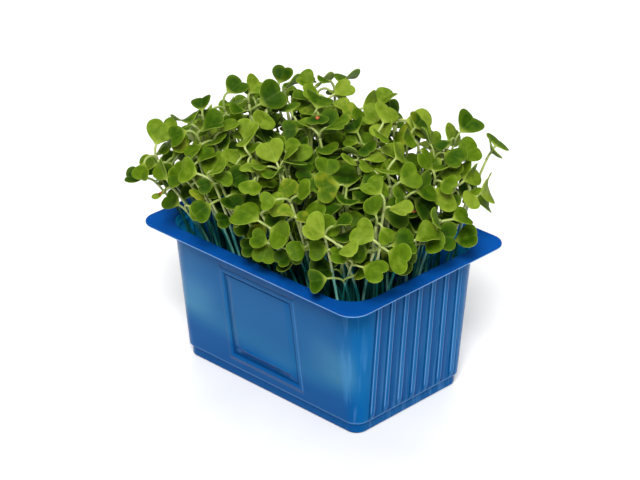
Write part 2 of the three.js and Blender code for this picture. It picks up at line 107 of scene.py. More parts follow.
# Lowest leaf in the crop's middle, its rise towards the edge and the power of that rise
LOW_LEAF = (56.5, 15.0, 1)
STEM_STEPS = (0.42, 0.76, 1.0)
STEM_BEND = 1.9
STEM_SWAY = 1.6
LEAN = (0.4, 1.2)
LEAN_STRAY = 0.5
LIGHT_TURN = 0.25

# ... and its leaves
PETIOLE_RISE = (0.55, 1.2)
PETIOLE_LENGTH = (2.8, 6.2)
BLADE_LEVEL = (-0.35, 0.7)
BLADE_ROLL = 0.6
BLADE_LENGTH = (5.6, 8.3)
SECOND_BLADE = (0.72, 0.98)

# The balls that keep seedlings apart, and the draw
STEM_BALL = 0.95
PETIOLE_BALL = 0.85
BLADE_BALL = 0.12
BLADE_BALL_RISE = 0.05
BALL_SPACING = 2.0
BLADE_ROWS = ((0.15, 0.0, 1), (0.34, 0.22, 3), (0.54, 0.46, 5), (0.74, 0.5, 5), (0.92, 0.36, 4))
LEAF_REACH = 0.9
CELL = 4.0
TRIES = 900
FIRST_SEED = 388
DRAW_FACTOR = 1664525
DRAW_STEP = 1013904223
DRAW_RANGE = 2 ** 32

# ---- small helpers


def add(a, b, scale=1.0):
    return (a[0] + b[0] * scale, a[1] + b[1] * scale, a[2] + b[2] * scale)


def scaled(a, scale):
    return (a[0] * scale, a[1] * scale, a[2] * scale)


def cross(a, b):
    return (a[1] * b[2] - a[2] * b[1], a[2] * b[0] - a[0] * b[2], a[0] * b[1] - a[1] * b[0])


def dot(a, b):
    return a[0] * b[0] + a[1] * b[1] + a[2] * b[2]


def unit(a):
    return scaled(a, 1 / math.sqrt(dot(a, a)))


def grown(half, by):
    return (half[0] + by, half[1] + by)


def smooth(x):
    """0 below 0, 1 above 1, and an S between."""
    x = np.clip(x, 0, 1)
    return x * x * (3 - 2 * x)


class Draw:
    """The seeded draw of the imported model's rule."""

    def __init__(self, seed):
        self.seed = seed

    def one(self):
        self.seed = (self.seed * DRAW_FACTOR + DRAW_STEP) % DRAW_RANGE
        return self.seed / DRAW_RANGE

    def between(self, low, high):
        return low + (high - low) * self.one()

    def around(self, spread):
        return self.between(-spread, spread)


draw = Draw(FIRST_SEED)
between = draw.between
around = draw.around

# ---- meshes

NEARLY_UPRIGHT = 0.2
TUBE_END = 0.5


def mesh_object(name, points, faces, materials, face_materials=None, attributes=None):
    """A mesh in millimetres as a smoothly shaded Blender object in metres."""
    mesh = bpy.data.meshes.new(name)
    mesh.from_pydata((np.asarray(points, float) * MM).tolist(), [], faces)
    for material in materials:
        mesh.materials.append(material)
    if face_materials is not None:
        mesh.polygons.foreach_set("material_index", np.asarray(face_materials, np.int32))
    for key, values in (attributes or {}).items():
        values = np.asarray(values, np.float32)
        kind, field = ("FLOAT", "value") if values.ndim == 1 else ("FLOAT_VECTOR", "vector")
        mesh.attributes.new(key, kind, "POINT").data.foreach_set(field, values.ravel())
    mesh.shade_smooth()
    mesh.validate()
    obj = bpy.data.objects.new(name, mesh)
    bpy.context.scene.collection.objects.link(obj)
    return obj


def shifted(faces, by):
    """Faces whose points come after so many others."""
    return [tuple(corner + by for corner in face) for face in faces]


def band(ring, beyond, count):
    """Quads between two rings, given where their points start."""
    pairs = [(step, (step + 1) % count) for step in range(count)]
    return [(ring + here, ring + beside, beyond + beside, beyond + here) for here, beside in pairs]


def fan(ring, hub, count):
    """Triangles between a ring and a hub."""
    return [(ring + step, ring + (step + 1) % count, hub) for step in range(count)]


def turned(faces):
    return [face[::-1] for face in faces]


def loft_faces(levels, count):
    """Faces of a closed body whose points are rings, the first one's hub and the last one's."""
    faces = []
    for level in range(levels - 1):
        faces += band(level * count, (level + 1) * count, count)
    hub = levels * count
    return faces + turned(fan(0, hub, count)) + fan(hub - count, hub + 1, count)


def tube(spots, radii, sides):
    """A closed tube through spots."""
    spots = np.asarray(spots, float)
    ways = np.gradient(spots, axis=0)
    ways /= np.linalg.norm(ways, axis=1, keepdims=True)
    aside = np.cross(ways[0], (0.0, 0.0, 1.0))
    if np.linalg.norm(aside) < NEARLY_UPRIGHT:
        aside = np.cross(ways[0], (0.0, 1.0, 0.0))
    angle = np.arange(sides) / sides * 2 * math.pi
    rings = []
    for spot, way, radius in zip(spots, ways, radii):
        aside = aside - way * np.dot(aside, way)
        aside /= np.linalg.norm(aside)
        over = np.cross(way, aside)
        circle = np.outer(np.cos(angle), aside) + np.outer(np.sin(angle), over)
        rings.append(spot + radius * circle)
    start = spots[0] - ways[0] * radii[0] * TUBE_END
    end = spots[-1] + ways[-1] * radii[-1] * TUBE_END
    return np.concatenate([*rings, [start, end]]), loft_faces(len(spots), sides)


# ---- material helpers


def srgb(red, green, blue):
    """A colour given by its 8-bit values, as Blender's linear colour."""
    shares = (red / 255, green / 255, blue / 255)
    return (*(((c + 0.055) / 1.055) ** 2.4 if c > 0.04 else c / 12.92 for c in shares), 1.0)


class Nodes:
    """Short hand for building one material's node tree, where positions are in metres."""

    def __init__(self, name):
        self.material = bpy.data.materials.new(name)
        self.material.use_nodes = True
        self.tree = self.material.node_tree
        self.shader = self.tree.nodes["Principled BSDF"]

    def set(self, **values):
        """Values of the shader's own sockets."""
        for key, value in values.items():
            self.shader.inputs[key.replace("_", " ")].default_value = value

    def new(self, kind, sockets, **settings):
        """Outputs of a new node that has numbers or other nodes' outputs in its sockets."""
        node = self.tree.nodes.new("ShaderNode" + kind)
        for key, value in settings.items():
            setattr(node, key, value)
        for key, value in sockets.items():
            self.plug(value, node.inputs[key])
        return node.outputs

    def plug(self, source, target):
        """source is a socket or a number."""
        if isinstance(source, bpy.types.NodeSocket):
            self.tree.links.new(source, target)
        else:
            target.default_value = source

    def paint(self, colour, grain, smoothest, roughest):
        """Base colour, and a roughness that follows a noise."""
        self.plug(colour, self.shader.inputs["Base Color"])
        self.plug(self.fit(grain, 0.3, 0.7, smoothest, roughest), self.shader.inputs["Roughness"])

    def attribute(self, name, output="Fac"):
        return self.new("Attribute", {}, attribute_name=name)[output]

    def split(self, vector):
        return self.new("SeparateXYZ", {0: vector})

    def position(self):
        return self.new("TexCoord", {})["Object"]

    def stretch(self, vector, scale):
        return self.new("Mapping", {"Vector": vector, "Scale": scale})[0]

    def noise(self, vector, scale, detail=3.0, roughness=0.5):
        sockets = {"Vector": vector, "Scale": scale, "Detail": detail, "Roughness": roughness}
        return self.new("TexNoise", sockets)["Fac"]

    def maths(self, operation, *values):
        return self.new("Math", dict(enumerate(values)), operation=operation)[0]

    def times(self, product, *factors):
        for factor in factors:
            product = self.maths("MULTIPLY", product, factor)
        return product

    def swing(self, value, amount):
        """A value of 0 to 1 as one that swings about 0."""
        return self.times(self.maths("SUBTRACT", value, 0.5), amount)

    def fit(self, value, low, high, to_low=0.0, to_high=1.0):
        """to_low where the value is low, to_high where it is high, and an S between."""
        sockets = {
            "Value": value,
            "From Min": low,
            "From Max": high,
            "To Min": to_low,
            "To Max": to_high,
        }
        return self.new("MapRange", sockets, interpolation_type="SMOOTHSTEP")[0]

    def zone(self, place, start, end, to_low=0.0, to_high=1.0):
        """fit() along one axis, between places in millimetres."""
        return self.fit(place, start * MM, end * MM, to_low, to_high)

    def ramp(self, value, *stops):
        node = self.tree.nodes.new("ShaderNodeValToRGB")
        ramp = node.color_ramp
        while len(ramp.elements) < len(stops):
            ramp.elements.new(0.5)
        for element, (place, colour) in zip(ramp.elements, stops):
            element.position = place
            element.color = colour
        self.plug(value, node.inputs[0])
        return node.outputs[0]

    def mix(self, factor, first, second):
        return self.new("Mix", {"Factor": factor, 6: first, 7: second}, data_type="RGBA")[2]

    def bump(self, height, strength, distance):
        """Unevenness of a distance in millimetres."""
        sockets = {"Height": height, "Strength": strength, "Distance": distance * MM}
        self.plug(self.new("Bump", sockets)[0], self.shader.inputs["Normal"])


# ---- tray's shape

STEP_TOP = FOOT_HEIGHT + FOOT_STEP_RISE
BEND_START = TRAY_HEIGHT - SHEET - FLANGE_BEND
FOOT_HALF = grown(WALL_BASE_HALF, -FOOT_STEP)
FLANGE_HALF = (TRAY_LENGTH / 2, TRAY_WIDTH / 2)
OPENING_HALF = grown(FLANGE_HALF, -FLANGE_WIDTH)
QUARTER_STEPS = 5
QUARTER = [step / QUARTER_STEPS * math.pi / 2 for step in range(QUARTER_STEPS + 1)]
CORNER_STEPS = 12

# Cross-section of the frame's moulding and the groove inside it: distance in, height
MOULDING = ((0, 0), (0.2, 0.28), (0.45, 0.4), (0.9, 0.42), (1.35, 0.4), (1.6, 0.26), (1.8, 0),
            (2.0, -0.22), (2.25, -0.22), (2.45, 0))
BAR_ACROSS = (-0.65, -0.45, -0.2, 0.0, 0.2, 0.45, 0.65)
BAR_FLANK = 0.45
BAR_END = 0.35
# Lines of the mesh along a side wall, inside the panel and beside it. Those beside it are spaced
# for a wall whose straight stretch is WALL_STRAIGHT, and spread to fit each level.
PANEL_STOPS = (2.0, 6.0)
WALL_STOPS = (17.6, 22.0, 27.0)
WALL_STRAIGHT = 35.4

RIB_CREST = 0.8
RIB_FLANK = 0.5
RIB_TOP_FADE = 0.6
# Lines of the mesh on either side of a rib's middle
RIB_ACROSS = (0.5, 0.68, 0.8, 0.9, 1.02, 1.15, 1.3, 1.4, 1.7)

# Shares of the step's rise that have a ring, and how far under it the foot starts to turn out
STEP_PARTS = (0.1, 0.3, 0.5, 0.7, 0.9)
STEP_LEAD = 0.1
FOOT_LINE = 0.25
RIB_FOOT_RINGS = 5
RIB_FOOT_SPACING = 0.45
RIB_TOP_PARTS = (0.75, 0.5, 0.25)
OUTER_SPACING = 2.6
INNER_SPACING = 3.2

# Outline of the flange's turned lip from its underside to its top: out, up from the tray's top
FLANGE_SHEET = 0.5
LIP_LOW = -FLANGE_SHEET - LIP_DROP
LIP_OUTLINE = ((-LIP_WIDTH, -FLANGE_SHEET), (-0.42, -FLANGE_SHEET - 0.12), (-0.3, LIP_LOW),
               (-0.1, LIP_LOW), (0.0, LIP_LOW + 0.1), (0.0, LIP_LOW + 0.25), (0.0, -0.3),
               (-0.04, -0.16), (-0.14, -0.05), (-0.3, 0.0))
FLANGE_LINE = 1.6

# A small ledge inside the wall under its bend: height, distance in
LEDGE = ((49.2, 0.0), (48.75, 0.05), (48.5, 0.3), (48.2, 0.34))
RIB_INSET = 0.1
HIDDEN_LEVELS = (15.0, 8.0, STEP_TOP + SHEET / 2)
# The foot's inside: distance in, height
FLOOR_RINGS = ((SHEET, FOOT_HEIGHT + SHEET / 2), (SHEET, FOOT_CHAMFER + SHEET / 2),
               (SHEET + FOOT_CHAMFER, SHEET))


def wall_half(z, inwards=0.0):
    """Half length and half width of the wall's outer face at a height."""
    rise = (z - STEP_TOP) / (TRAY_HEIGHT - FLANGE_BEND - STEP_TOP)
    both = zip(WALL_BASE_HALF, WALL_TOP_HALF)
    return tuple(base + (top - base) * rise - inwards for base, top in both)


def frame_lines():
    """Places along a side wall where the mesh needs a line."""
    right = [PANEL_HALF - inset for inset, _ in MOULDING]
    right = sorted([*right, BAR_HALF, BAR_HALF - BAR_END, *PANEL_STOPS, *WALL_STOPS])
    return [-x for x in reversed(right)] + right


def end_lines():
    """Places along an end wall where the mesh needs a line."""
    across = (*(-y for y in reversed(RIB_ACROSS)), 0.0, *RIB_ACROSS)
    ribs = range(-RIBS_EACH_SIDE, RIBS_EACH_SIDE + 1)
    return [rib * RIB_PITCH + y for rib in ribs for y in across]


def rib_distance(y):
    """How far a place on an end wall is from the middle of the nearest rib."""
    middle = np.clip(np.round(y / RIB_PITCH), -RIBS_EACH_SIDE, RIBS_EACH_SIDE) * RIB_PITCH
    return np.abs(y - middle)


def rib_rise(y, tighten):
    """Height of the ribs, 0 to 1, along an end wall. They are narrower inside the sheet."""
    return 1 - smooth((rib_distance(y) + tighten - RIB_CREST) / RIB_FLANK)


def panel_rise(x, z):
    """Height of the frame and the bar of a side wall."""
    depth = np.minimum(PANEL_HALF - np.abs(x), min(z - PANEL_BOTTOM, PANEL_TOP - z))
    inset, height = zip(*MOULDING)
    frame_height = np.interp(depth, inset, height, left=0, right=0)
    across = smooth((BAR_WIDTH / 2 - abs(z - BAR_LEVEL)) / BAR_FLANK)
    return frame_height + BAR_RISE * across * smooth((BAR_HALF - np.abs(x)) / BAR_END)


def tray_ring(half, z, radius, ribs=0.0, tighten=0.0, panel=0.0):
    """One level of the tray, anticlockwise from the middle of the +X end."""
    squeeze = min(1.0, (half[1] - radius) / END_STRAIGHT)
    y = np.array(end_lines())
    end = np.stack([half[0] + ribs * rib_rise(y, tighten), y * squeeze], 1)
    x = np.array(frame_lines())
    inner = WALL_STOPS[0]
    spread = np.abs(x) > inner
    stretch = (half[0] - radius - inner) / (WALL_STRAIGHT - inner)
    x[spread] = np.sign(x[spread]) * (inner + (np.abs(x[spread]) - inner) * stretch)
    side = np.stack([-x, half[1] + panel * panel_rise(x, z)], 1)
    points = []
    quarters = ((end, 1, 1), (side, -1, 1), (-end, -1, -1), (-side, 1, -1))
    for quarter, (straight, sign_x, sign_y) in enumerate(quarters):
        angle = (quarter + np.arange(CORNER_STEPS + 1) / CORNER_STEPS) * math.pi / 2
        corner_x = sign_x * (half[0] - radius) + radius * np.cos(angle)
        corner_y = sign_y * (half[1] - radius) + radius * np.sin(angle)
        points += [straight, np.stack([corner_x, corner_y], 1)]
    flat = np.concatenate(points)
    return np.column_stack([flat, np.full(len(flat), z)])


def plain_ring(half, z):
    """A level with the wall's corners and no relief."""
    return tray_ring(half, z, half[1] - END_STRAIGHT)


def wall_ring(z, inwards=0.0):
    """A level of the wall, with its ribs and panels."""
    half = wall_half(z, inwards)
    fade = smooth((z - STEP_TOP) / RIB_FADE) * smooth((BEND_START - z) / RIB_TOP_FADE)
    tighten = RIB_TIGHTEN if inwards else 0.0
    return tray_ring(half, z, half[1] - END_STRAIGHT, RIB_DEPTH * fade, tighten, 1.0)


def wall_levels(low, high, spacing):
    """Heights of a wall's rings: the panel's and the bar's own lines, and others between them."""
    own = [PANEL_BOTTOM + inset for inset, _ in MOULDING]
    own += [PANEL_TOP - inset for inset, _ in MOULDING]
    own += [BAR_LEVEL + across for across in BAR_ACROSS]
    own = sorted(level for level in own if low < level < high)
    levels = [low]
    for level in [*own, high]:
        gap = level - levels[-1]
        extra = int(gap // spacing)
        levels += [levels[-1] + gap * (step + 1) / (extra + 1) for step in range(extra)]
        levels.append(level)
    return levels


def outer_rings():
    """The tray's levels from its underside to the flange's top."""
    rings = []
    # Foot: a rounded edge, an upright band and the step out to the wall
    for angle in QUARTER:
        inset = FOOT_CHAMFER * (1 - math.sin(angle))
        z = FOOT_CHAMFER * (1 - math.cos(angle))
        rings.append(tray_ring(grown(FOOT_HALF, -inset), z, FOOT_RADIUS - inset / 2))
    rings.append(tray_ring(FOOT_HALF, FOOT_HEIGHT - FOOT_LINE, FOOT_RADIUS))
    wall_radius = WALL_BASE_HALF[1] - END_STRAIGHT
    for part in STEP_PARTS:
        out = float(smooth(part))
        z = FOOT_HEIGHT - STEP_LEAD + (FOOT_STEP_RISE + STEP_LEAD) * part
        radius = FOOT_RADIUS + (wall_radius - FOOT_RADIUS) * out
        rings.append(tray_ring(grown(FOOT_HALF, FOOT_STEP * out), z, radius))
    # Wall
    levels = [STEP_TOP + RIB_FOOT_SPACING * step for step in range(RIB_FOOT_RINGS)]
    levels += wall_levels(STEP_TOP + RIB_FADE, BEND_START - RIB_TOP_FADE, OUTER_SPACING)
    levels += [BEND_START - RIB_TOP_FADE * part for part in RIB_TOP_PARTS]
    rings += [wall_ring(z) for z in levels]
    # Bend under the flange, and the flange's lip and top
    root = grown(wall_half(BEND_START), FLANGE_BEND)
    rise = TRAY_HEIGHT - FLANGE_SHEET - BEND_START
    for angle in QUARTER:
        half = grown(root, -FLANGE_BEND * math.cos(angle))
        rings.append(plain_ring(half, BEND_START + rise * math.sin(angle)))
    for out, up in LIP_OUTLINE:
        rings.append(tray_ring(grown(FLANGE_HALF, out), TRAY_HEIGHT + up, FLANGE_RADIUS + out))
    inner_line = grown(FLANGE_HALF, -FLANGE_LINE)
    rings.append(tray_ring(inner_line, TRAY_HEIGHT, FLANGE_RADIUS - FLANGE_LINE / 4))
    return rings


def inner_rings():
    """The levels from the opening over the bend, past a small ledge and down to the floor."""
    rings = []
    for angle in QUARTER:
        half = grown(OPENING_HALF, -FLANGE_BEND * math.sin(angle))
        rings.append(plain_ring(half, TRAY_HEIGHT - FLANGE_BEND * (1 - math.cos(angle))))
    rings += [plain_ring(wall_half(z, SHEET + inwards), z) for z, inwards in LEDGE]
    levels = wall_levels(MEDIUM_TOP, BEND_START - RIB_FADE / 2, INNER_SPACING)
    rings += [wall_ring(z, SHEET + RIB_INSET) for z in reversed(levels)]
    rings += [plain_ring(wall_half(z, SHEET), z) for z in HIDDEN_LEVELS]
    for inwards, z in FLOOR_RINGS:
        rings.append(tray_ring(grown(FOOT_HALF, -inwards), z, FOOT_RADIUS - SHEET))
    return rings


# ---- tray's colours

# Soft lines of painted shade and painted highlight on the sheet: where their middle is, how wide
# they are and how strong. The panel's are measured in from its frame's outside, the ribs' from a
# rib's middle, the others upwards.
GROOVE_LINE = (2.12, 0.22, 1.0)
FRAME_FOOT_LINE = (-0.1, 0.2, 0.45)
FRAME_RIDGE_LINE = (0.15, 0.15, 0.25)
UNDER_BAR_LINE = (BAR_LEVEL - BAR_WIDTH / 2, 0.15, 0.7)
RIB_FOOT_LINE = (RIB_CREST + RIB_FLANK, 0.32, 0.8)
RIB_SHOULDER_LINE = (RIB_CREST, 0.1, 0.75)
STEP_LINE = (STEP_TOP, 0.3, 0.35)
LIP_LINE = (TRAY_HEIGHT + LIP_LOW + 0.15, 0.2, 1.0)
LIP_TOP_SHADE = 0.5
LIP_TOP_START = TRAY_HEIGHT + LIP_LOW + 0.3
LIP_REACH = 0.2
CREASE_TOP = TRAY_HEIGHT - 3.0
WALL_MARGIN = 1.0
RIB_SHADOW_START = 1.4
RIB_SHADOW_REACH = 3.2
# Rings over the inner bend that keep the outside's colour
OUTSIDE_BEND_RINGS = 3
SHARP_ANGLE = 50.0

# Linear colours of the sheet, from the foot up by the share of the tray's height. Darker low down:
# painted shade, where the medium stands behind the sheet. Paler in a band from about the medium's
# top: painted light that comes through the sheet. Deepest blue at the flange.
SHEET_BLUES_WITH_PAINTED_LIGHT = (
    (0.00, (0.002, 0.068, 0.240, 1)),
    (0.26, (0.004, 0.078, 0.255, 1)),
    (0.36, (0.014, 0.118, 0.284, 1)),
    (0.50, (0.012, 0.102, 0.268, 1)),
    (0.86, (0.012, 0.098, 0.276, 1)),
    (0.94, (0.002, 0.072, 0.335, 1)),
)
# Blues mixed over the sheet's own. Painted light: the thin middle and the inside. Painted
# highlights: the corner streaks and the edges. Painted shade: the end walls, the ribs' far sides and
# the creases. One more is a paler blue towards the -X end.
THIN_GLOW_BLUE = (0.066, 0.232, 0.372, 1)
FAR_BLUE = (0.036, 0.148, 0.325, 1)
END_SHADE_BLUE = (0.001, 0.106, 0.312, 1)
CORNER_GLINT_BLUE = (0.060, 0.210, 0.450, 1)
RIB_SHADOW_BLUE = (0.001, 0.050, 0.215, 1)
INSIDE_GLOW_BLUE = (0.018, 0.560, 0.940, 1)
CREASE_BLUE = (0.001, 0.022, 0.105, 1)
EDGE_HIGHLIGHT_BLUE = (0.23, 0.45, 0.76, 1)


def soft_line(place, middle, width, strength):
    """How much of a soft line there is at a place."""
    return strength * np.exp(-((place - middle) / width) ** 2)


def at_lip(x, y):
    """Whether a place is on the flange's outer edge."""
    over_x = np.abs(x) - FLANGE_HALF[0] + FLANGE_RADIUS
    over_y = np.abs(y) - FLANGE_HALF[1] + FLANGE_RADIUS
    return np.hypot(np.maximum(over_x, 0), np.maximum(over_y, 0)) > FLANGE_RADIUS - LIP_REACH


def tray_marks(points, inside):
    """Where the sheet's colour differs, 0 to 1 at each point.

    crease: the grooves of the panel and the feet of the ribs, where shade collects.
    edge: painted highlights on the ribs' shoulders, the frame's outside, the lip and the step.
    valley: painted shade, 1 beside a rib's far side, falling to 0 before the next rib.
    """
    x, y, z = points.T
    depth = np.minimum(PANEL_HALF - np.abs(x), np.minimum(z - PANEL_BOTTOM, PANEL_TOP - z))
    on_side = (z > STEP_TOP) & (np.abs(x) < PANEL_HALF + WALL_MARGIN)
    at_end = (np.abs(x) > WALL_BASE_HALF[0] - WALL_MARGIN) & (np.abs(y) < END_STRAIGHT)
    on_end = (z > STEP_TOP) & at_end
    lip = at_lip(x, y)
    from_rib = rib_distance(y)

    under_bar = soft_line(z, *UNDER_BAR_LINE) * (np.abs(x) < BAR_HALF)
    panel = soft_line(depth, *GROOVE_LINE) + soft_line(depth, *FRAME_FOOT_LINE) + under_bar
    walls = on_side * panel + on_end * soft_line(from_rib, *RIB_FOOT_LINE)
    crease = walls * (z < CREASE_TOP) + LIP_TOP_SHADE * (lip & (z > LIP_TOP_START))

    shoulders = on_end * soft_line(from_rib, *RIB_SHOULDER_LINE)
    walls = shoulders + on_side * soft_line(depth, *FRAME_RIDGE_LINE)
    walls = walls * (z > STEP_TOP + RIB_FADE) * (z < BEND_START)
    edge = walls + soft_line(z, *LIP_LINE) * lip + soft_line(z, *STEP_LINE)

    # Painted shade beside each rib's far side, fading before the next rib
    past = np.mod(y * np.sign(x), RIB_PITCH)
    falling = np.clip(1 - (past - RIB_SHADOW_START) / RIB_SHADOW_REACH, 0, 1) * (past > RIB_CREST)
    valley = on_end * (z < BEND_START) * falling
    return {
        "crease": np.clip(crease, 0, 1),
        "edge": np.clip(edge, 0, 1) * (1 - inside),
        "inside": inside,
        "valley": valley * (1 - inside),
    }


def tray_material():
    nodes = Nodes("blue_formed_plastic")
    place = nodes.position()
    spot = nodes.split(place)
    x, height = spot[0], spot[2]
    along = nodes.maths("ABSOLUTE", x)
    # The sheet's blue by height: painted light in the middle of the wall, where light comes through
    # the sheet, and painted shade at the foot, behind the medium
    drift = nodes.swing(nodes.noise(place, 24, 2), 12 * MM)
    level = nodes.maths("ADD", height, nodes.times(drift, nodes.zone(height, 46, 42)))
    colour = nodes.ramp(nodes.maths("DIVIDE", level, TRAY_HEIGHT * MM), *SHEET_BLUES_WITH_PAINTED_LIGHT)
    # Palest a little above the medium towards the corners, where the sheet is thinnest: painted
    # light that comes through it
    thin_glow = nodes.times(
        nodes.zone(along, 16, 36),
        nodes.zone(x, -30, 34, 1.0, 0.66),
        nodes.zone(level, 16.5, 23.5),
        nodes.zone(level, 37, 27),
        nodes.zone(along, 42.5, 38.5, 0.2, 0.75),
    )
    # Paler towards the -X end
    far = nodes.times(
        nodes.zone(x, -18, -36, 0.0, 0.55),
        nodes.zone(height, 49, 46),
        nodes.zone(height, 18, 30),
    )
    # Deeper blue on the end walls: painted shade, as they reflect less light than the sides
    at_end = nodes.times(nodes.zone(along, 37.5, 41, 0.0, 0.8), nodes.zone(height, 48, 46))
    # Upright pale streaks round the corners: painted highlights
    corner_glints = nodes.noise(nodes.stretch(place, (1, 1, 0.02)), 420, 2)
    at_corner = nodes.times(
        nodes.zone(along, 34, 37.5),
        nodes.zone(along, 42.5, 41),
        nodes.zone(height, 49, 46),
    )
    layers = (
        (thin_glow, THIN_GLOW_BLUE),
        (far, FAR_BLUE),
        (at_end, END_SHADE_BLUE),
        (nodes.times(nodes.fit(corner_glints, 0.5, 0.62, 0.0, 0.4), at_corner), CORNER_GLINT_BLUE),
        # Painted shade beside each rib's far side
        (nodes.times(nodes.attribute("valley"), 0.85), RIB_SHADOW_BLUE),
        # The inside is painted paler: painted light, as if light came through the sheet
        (nodes.attribute("inside"), INSIDE_GLOW_BLUE),
        (nodes.times(nodes.attribute("crease"), 0.95), CREASE_BLUE),
        # Painted highlights on the ribs' shoulders, the frame, the lip and the step
        (nodes.times(nodes.attribute("edge"), 0.85), EDGE_HIGHLIGHT_BLUE),
    )
    for share, blue in layers:
        colour = nodes.mix(share, colour, blue)
    nodes.paint(colour, nodes.noise(place, 120, 3), 0.18, 0.26)
    nodes.bump(nodes.noise(nodes.stretch(place, (1, 1, 0.3)), 70, 1), 0.12, 0.4)
    nodes.set(IOR=1.15, Specular_Tint=(0.25, 0.65, 1.0, 1))
    nodes.set(Subsurface_Weight=0.4, Subsurface_Scale=1.0 * MM, Subsurface_Radius=(0.2, 0.8, 1.0))
    return nodes.material


def build_tray(material):
    outside = outer_rings()
    rings = outside + inner_rings()
    count = len(rings[0])
    points = np.concatenate([*rings, [[0, 0, 0], [0, 0, SHEET]]])
    inside = np.zeros(len(points))
    inside[(len(outside) + OUTSIDE_BEND_RINGS) * count:-2] = 1
    inside[-1] = 1
    faces = loft_faces(len(rings), count)
    marks = tray_marks(points, inside)
    obj = mesh_object("tray_shell", points, faces, [material], attributes=marks)
    obj.data.set_sharp_from_angle(angle=math.radians(SHARP_ANGLE))
    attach(obj, "root")
    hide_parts("tray")


# ---- growing medium

MEDIUM_POINTS = 96
MEDIUM_LEVELS = (STEP_TOP + SHEET, 10.0, 15.0, 19.2)
MEDIUM_SHARES = (0.99, 0.94, 0.86, 0.77, 0.68, 0.59, 0.5, 0.41, 0.32, 0.23, 0.14, 0.06)
MEDIUM_SINK = 0.3
CRUMBLE_HEIGHT = 0.22
FIBRES = 420
FIBRE_SEED = 7
FIBRE_MARGIN = 3.5
FIBRE_CURL = 1.2
FIBRE_SPOTS = 5
FIBRE_SINK = 0.2
FIBRE_ARCH = 0.5


def medium_material():
    nodes = Nodes("dark_peat")
    place = nodes.position()
    crumb = nodes.noise(place, 700, 6, 0.65)
    strand = nodes.noise(nodes.stretch(place, (1, 0.2, 1)), 900, 3)
    colour = nodes.ramp(
        crumb,
        (0.30, srgb(24, 17, 12)),
        (0.50, srgb(58, 42, 28)),
        (0.72, srgb(104, 80, 54)),
    )
    colour = nodes.mix(nodes.fit(strand, 0.55, 0.75, 0, 0.5), colour, srgb(132, 104, 70))
    nodes.paint(colour, crumb, 0.75, 0.95)
    nodes.bump(crumb, 0.8, 1.2)
    return nodes.material


def crumble(x, y):
    """Unevenness of the medium's top: waves that bend each other."""
    lengthways = np.sin(0.9 * x + 1.3 * np.sin(0.7 * y))
    crossways = np.sin(1.1 * y + 1.7 * np.sin(0.5 * x))
    return CRUMBLE_HEIGHT * (lengthways + crossways)


def medium_ring(half, z, radius):
    """A round-cornered rectangle of evenly turned points."""
    angle = (np.arange(MEDIUM_POINTS) + 0.5) / MEDIUM_POINTS * 2 * math.pi
    cos, sin = np.cos(angle), np.sin(angle)
    x = np.sign(cos) * (half[0] - radius) + radius * cos
    y = np.sign(sin) * (half[1] - radius) + radius * sin
    return np.column_stack([x, y, np.full(MEDIUM_POINTS, z)])


def add_fibres(points, faces, top):
    """Short curved fibres that lie on the medium, each a three-sided tube."""
    chance = np.random.default_rng(FIBRE_SEED)
    blocks = [points]
    count = len(points)
    for _ in range(FIBRES):
        middle = chance.uniform(-1, 1, 2) * (np.array(top) - FIBRE_MARGIN)
        turn = chance.uniform(0, 2 * math.pi)
        curl = chance.uniform(-FIBRE_CURL, FIBRE_CURL)
        length = chance.uniform(2, 6)
        radius = chance.uniform(0.09, 0.18)
        spots = []
        for share in np.linspace(0, 1, FIBRE_SPOTS):
            along = (share - 0.5) * length
            heading = turn + curl * share
            x = middle[0] + along * math.cos(heading)
            y = middle[1] + along * math.sin(heading)
            arch = FIBRE_ARCH * math.sin(share * math.pi)
            spots.append((x, y, MEDIUM_TOP - FIBRE_SINK + crumble(x, y) + arch))
        fibre, fibre_faces = tube(spots, [radius] * FIBRE_SPOTS, 3)
        blocks.append(fibre)
        faces = faces + shifted(fibre_faces, count)
        count += len(fibre)
    return np.concatenate(blocks), faces


def build_medium(material):
    clear = SHEET + GAP
    foot = grown(FOOT_HALF, -clear)
    rings = [
        medium_ring(grown(foot, -FOOT_CHAMFER), clear, FOOT_RADIUS),
        medium_ring(foot, FOOT_CHAMFER + clear, FOOT_RADIUS),
        medium_ring(foot, FOOT_HEIGHT + SHEET / 2, FOOT_RADIUS),
    ]
    for z in MEDIUM_LEVELS:
        half = wall_half(z, clear)
        rings.append(medium_ring(half, z, half[1] - END_STRAIGHT))
    top = wall_half(MEDIUM_TOP, clear)
    for share in MEDIUM_SHARES:
        half = (top[0] * share, top[1] * share)
        ring = medium_ring(half, MEDIUM_TOP, (top[1] - END_STRAIGHT) * share)
        ring[:, 2] += crumble(ring[:, 0], ring[:, 1]) - MEDIUM_SINK
        rings.append(ring)
    hubs = [(0, 0, clear), (0, 0, MEDIUM_TOP - MEDIUM_SINK)]
    faces = loft_faces(len(rings), MEDIUM_POINTS)
    points, faces = add_fibres(np.concatenate([*rings, hubs]), faces, top)
    obj = mesh_object("medium_block", points, faces, [material])
    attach(obj, "root")
    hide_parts("growing_medium")


# ---- where the seedlings stand

# Where the scene's own seedlings stand and how much lower they may be, and how place() differs for
# them: its tries, the share of the balls' reach that it keeps, and how far they reach down and out
EXTRA_SPOTS = 520
EXTRA_HALF = (35.0, 22.0)
EXTRA_DROP = 24.0
EXTRA_RULE = {"tries": 120, "share": 0.56, "low_leaf": (54.5, 21.0, 3), "widest": 0.78}


def clump_centres():
    centres = []
    for row in range(CLUMP_ROWS):
        for column in range(CLUMP_COLUMNS):
            shift = CLUMP_STAGGER if row % 2 == 0 else -CLUMP_STAGGER
            x = (2 * column / (CLUMP_COLUMNS - 1) - 1) * CLUMP_HALF_X + shift
            y = (2 * row / (CLUMP_ROWS - 1) - 1) * CLUMP_HALF_Y
            centres.append((x, y))
    return centres


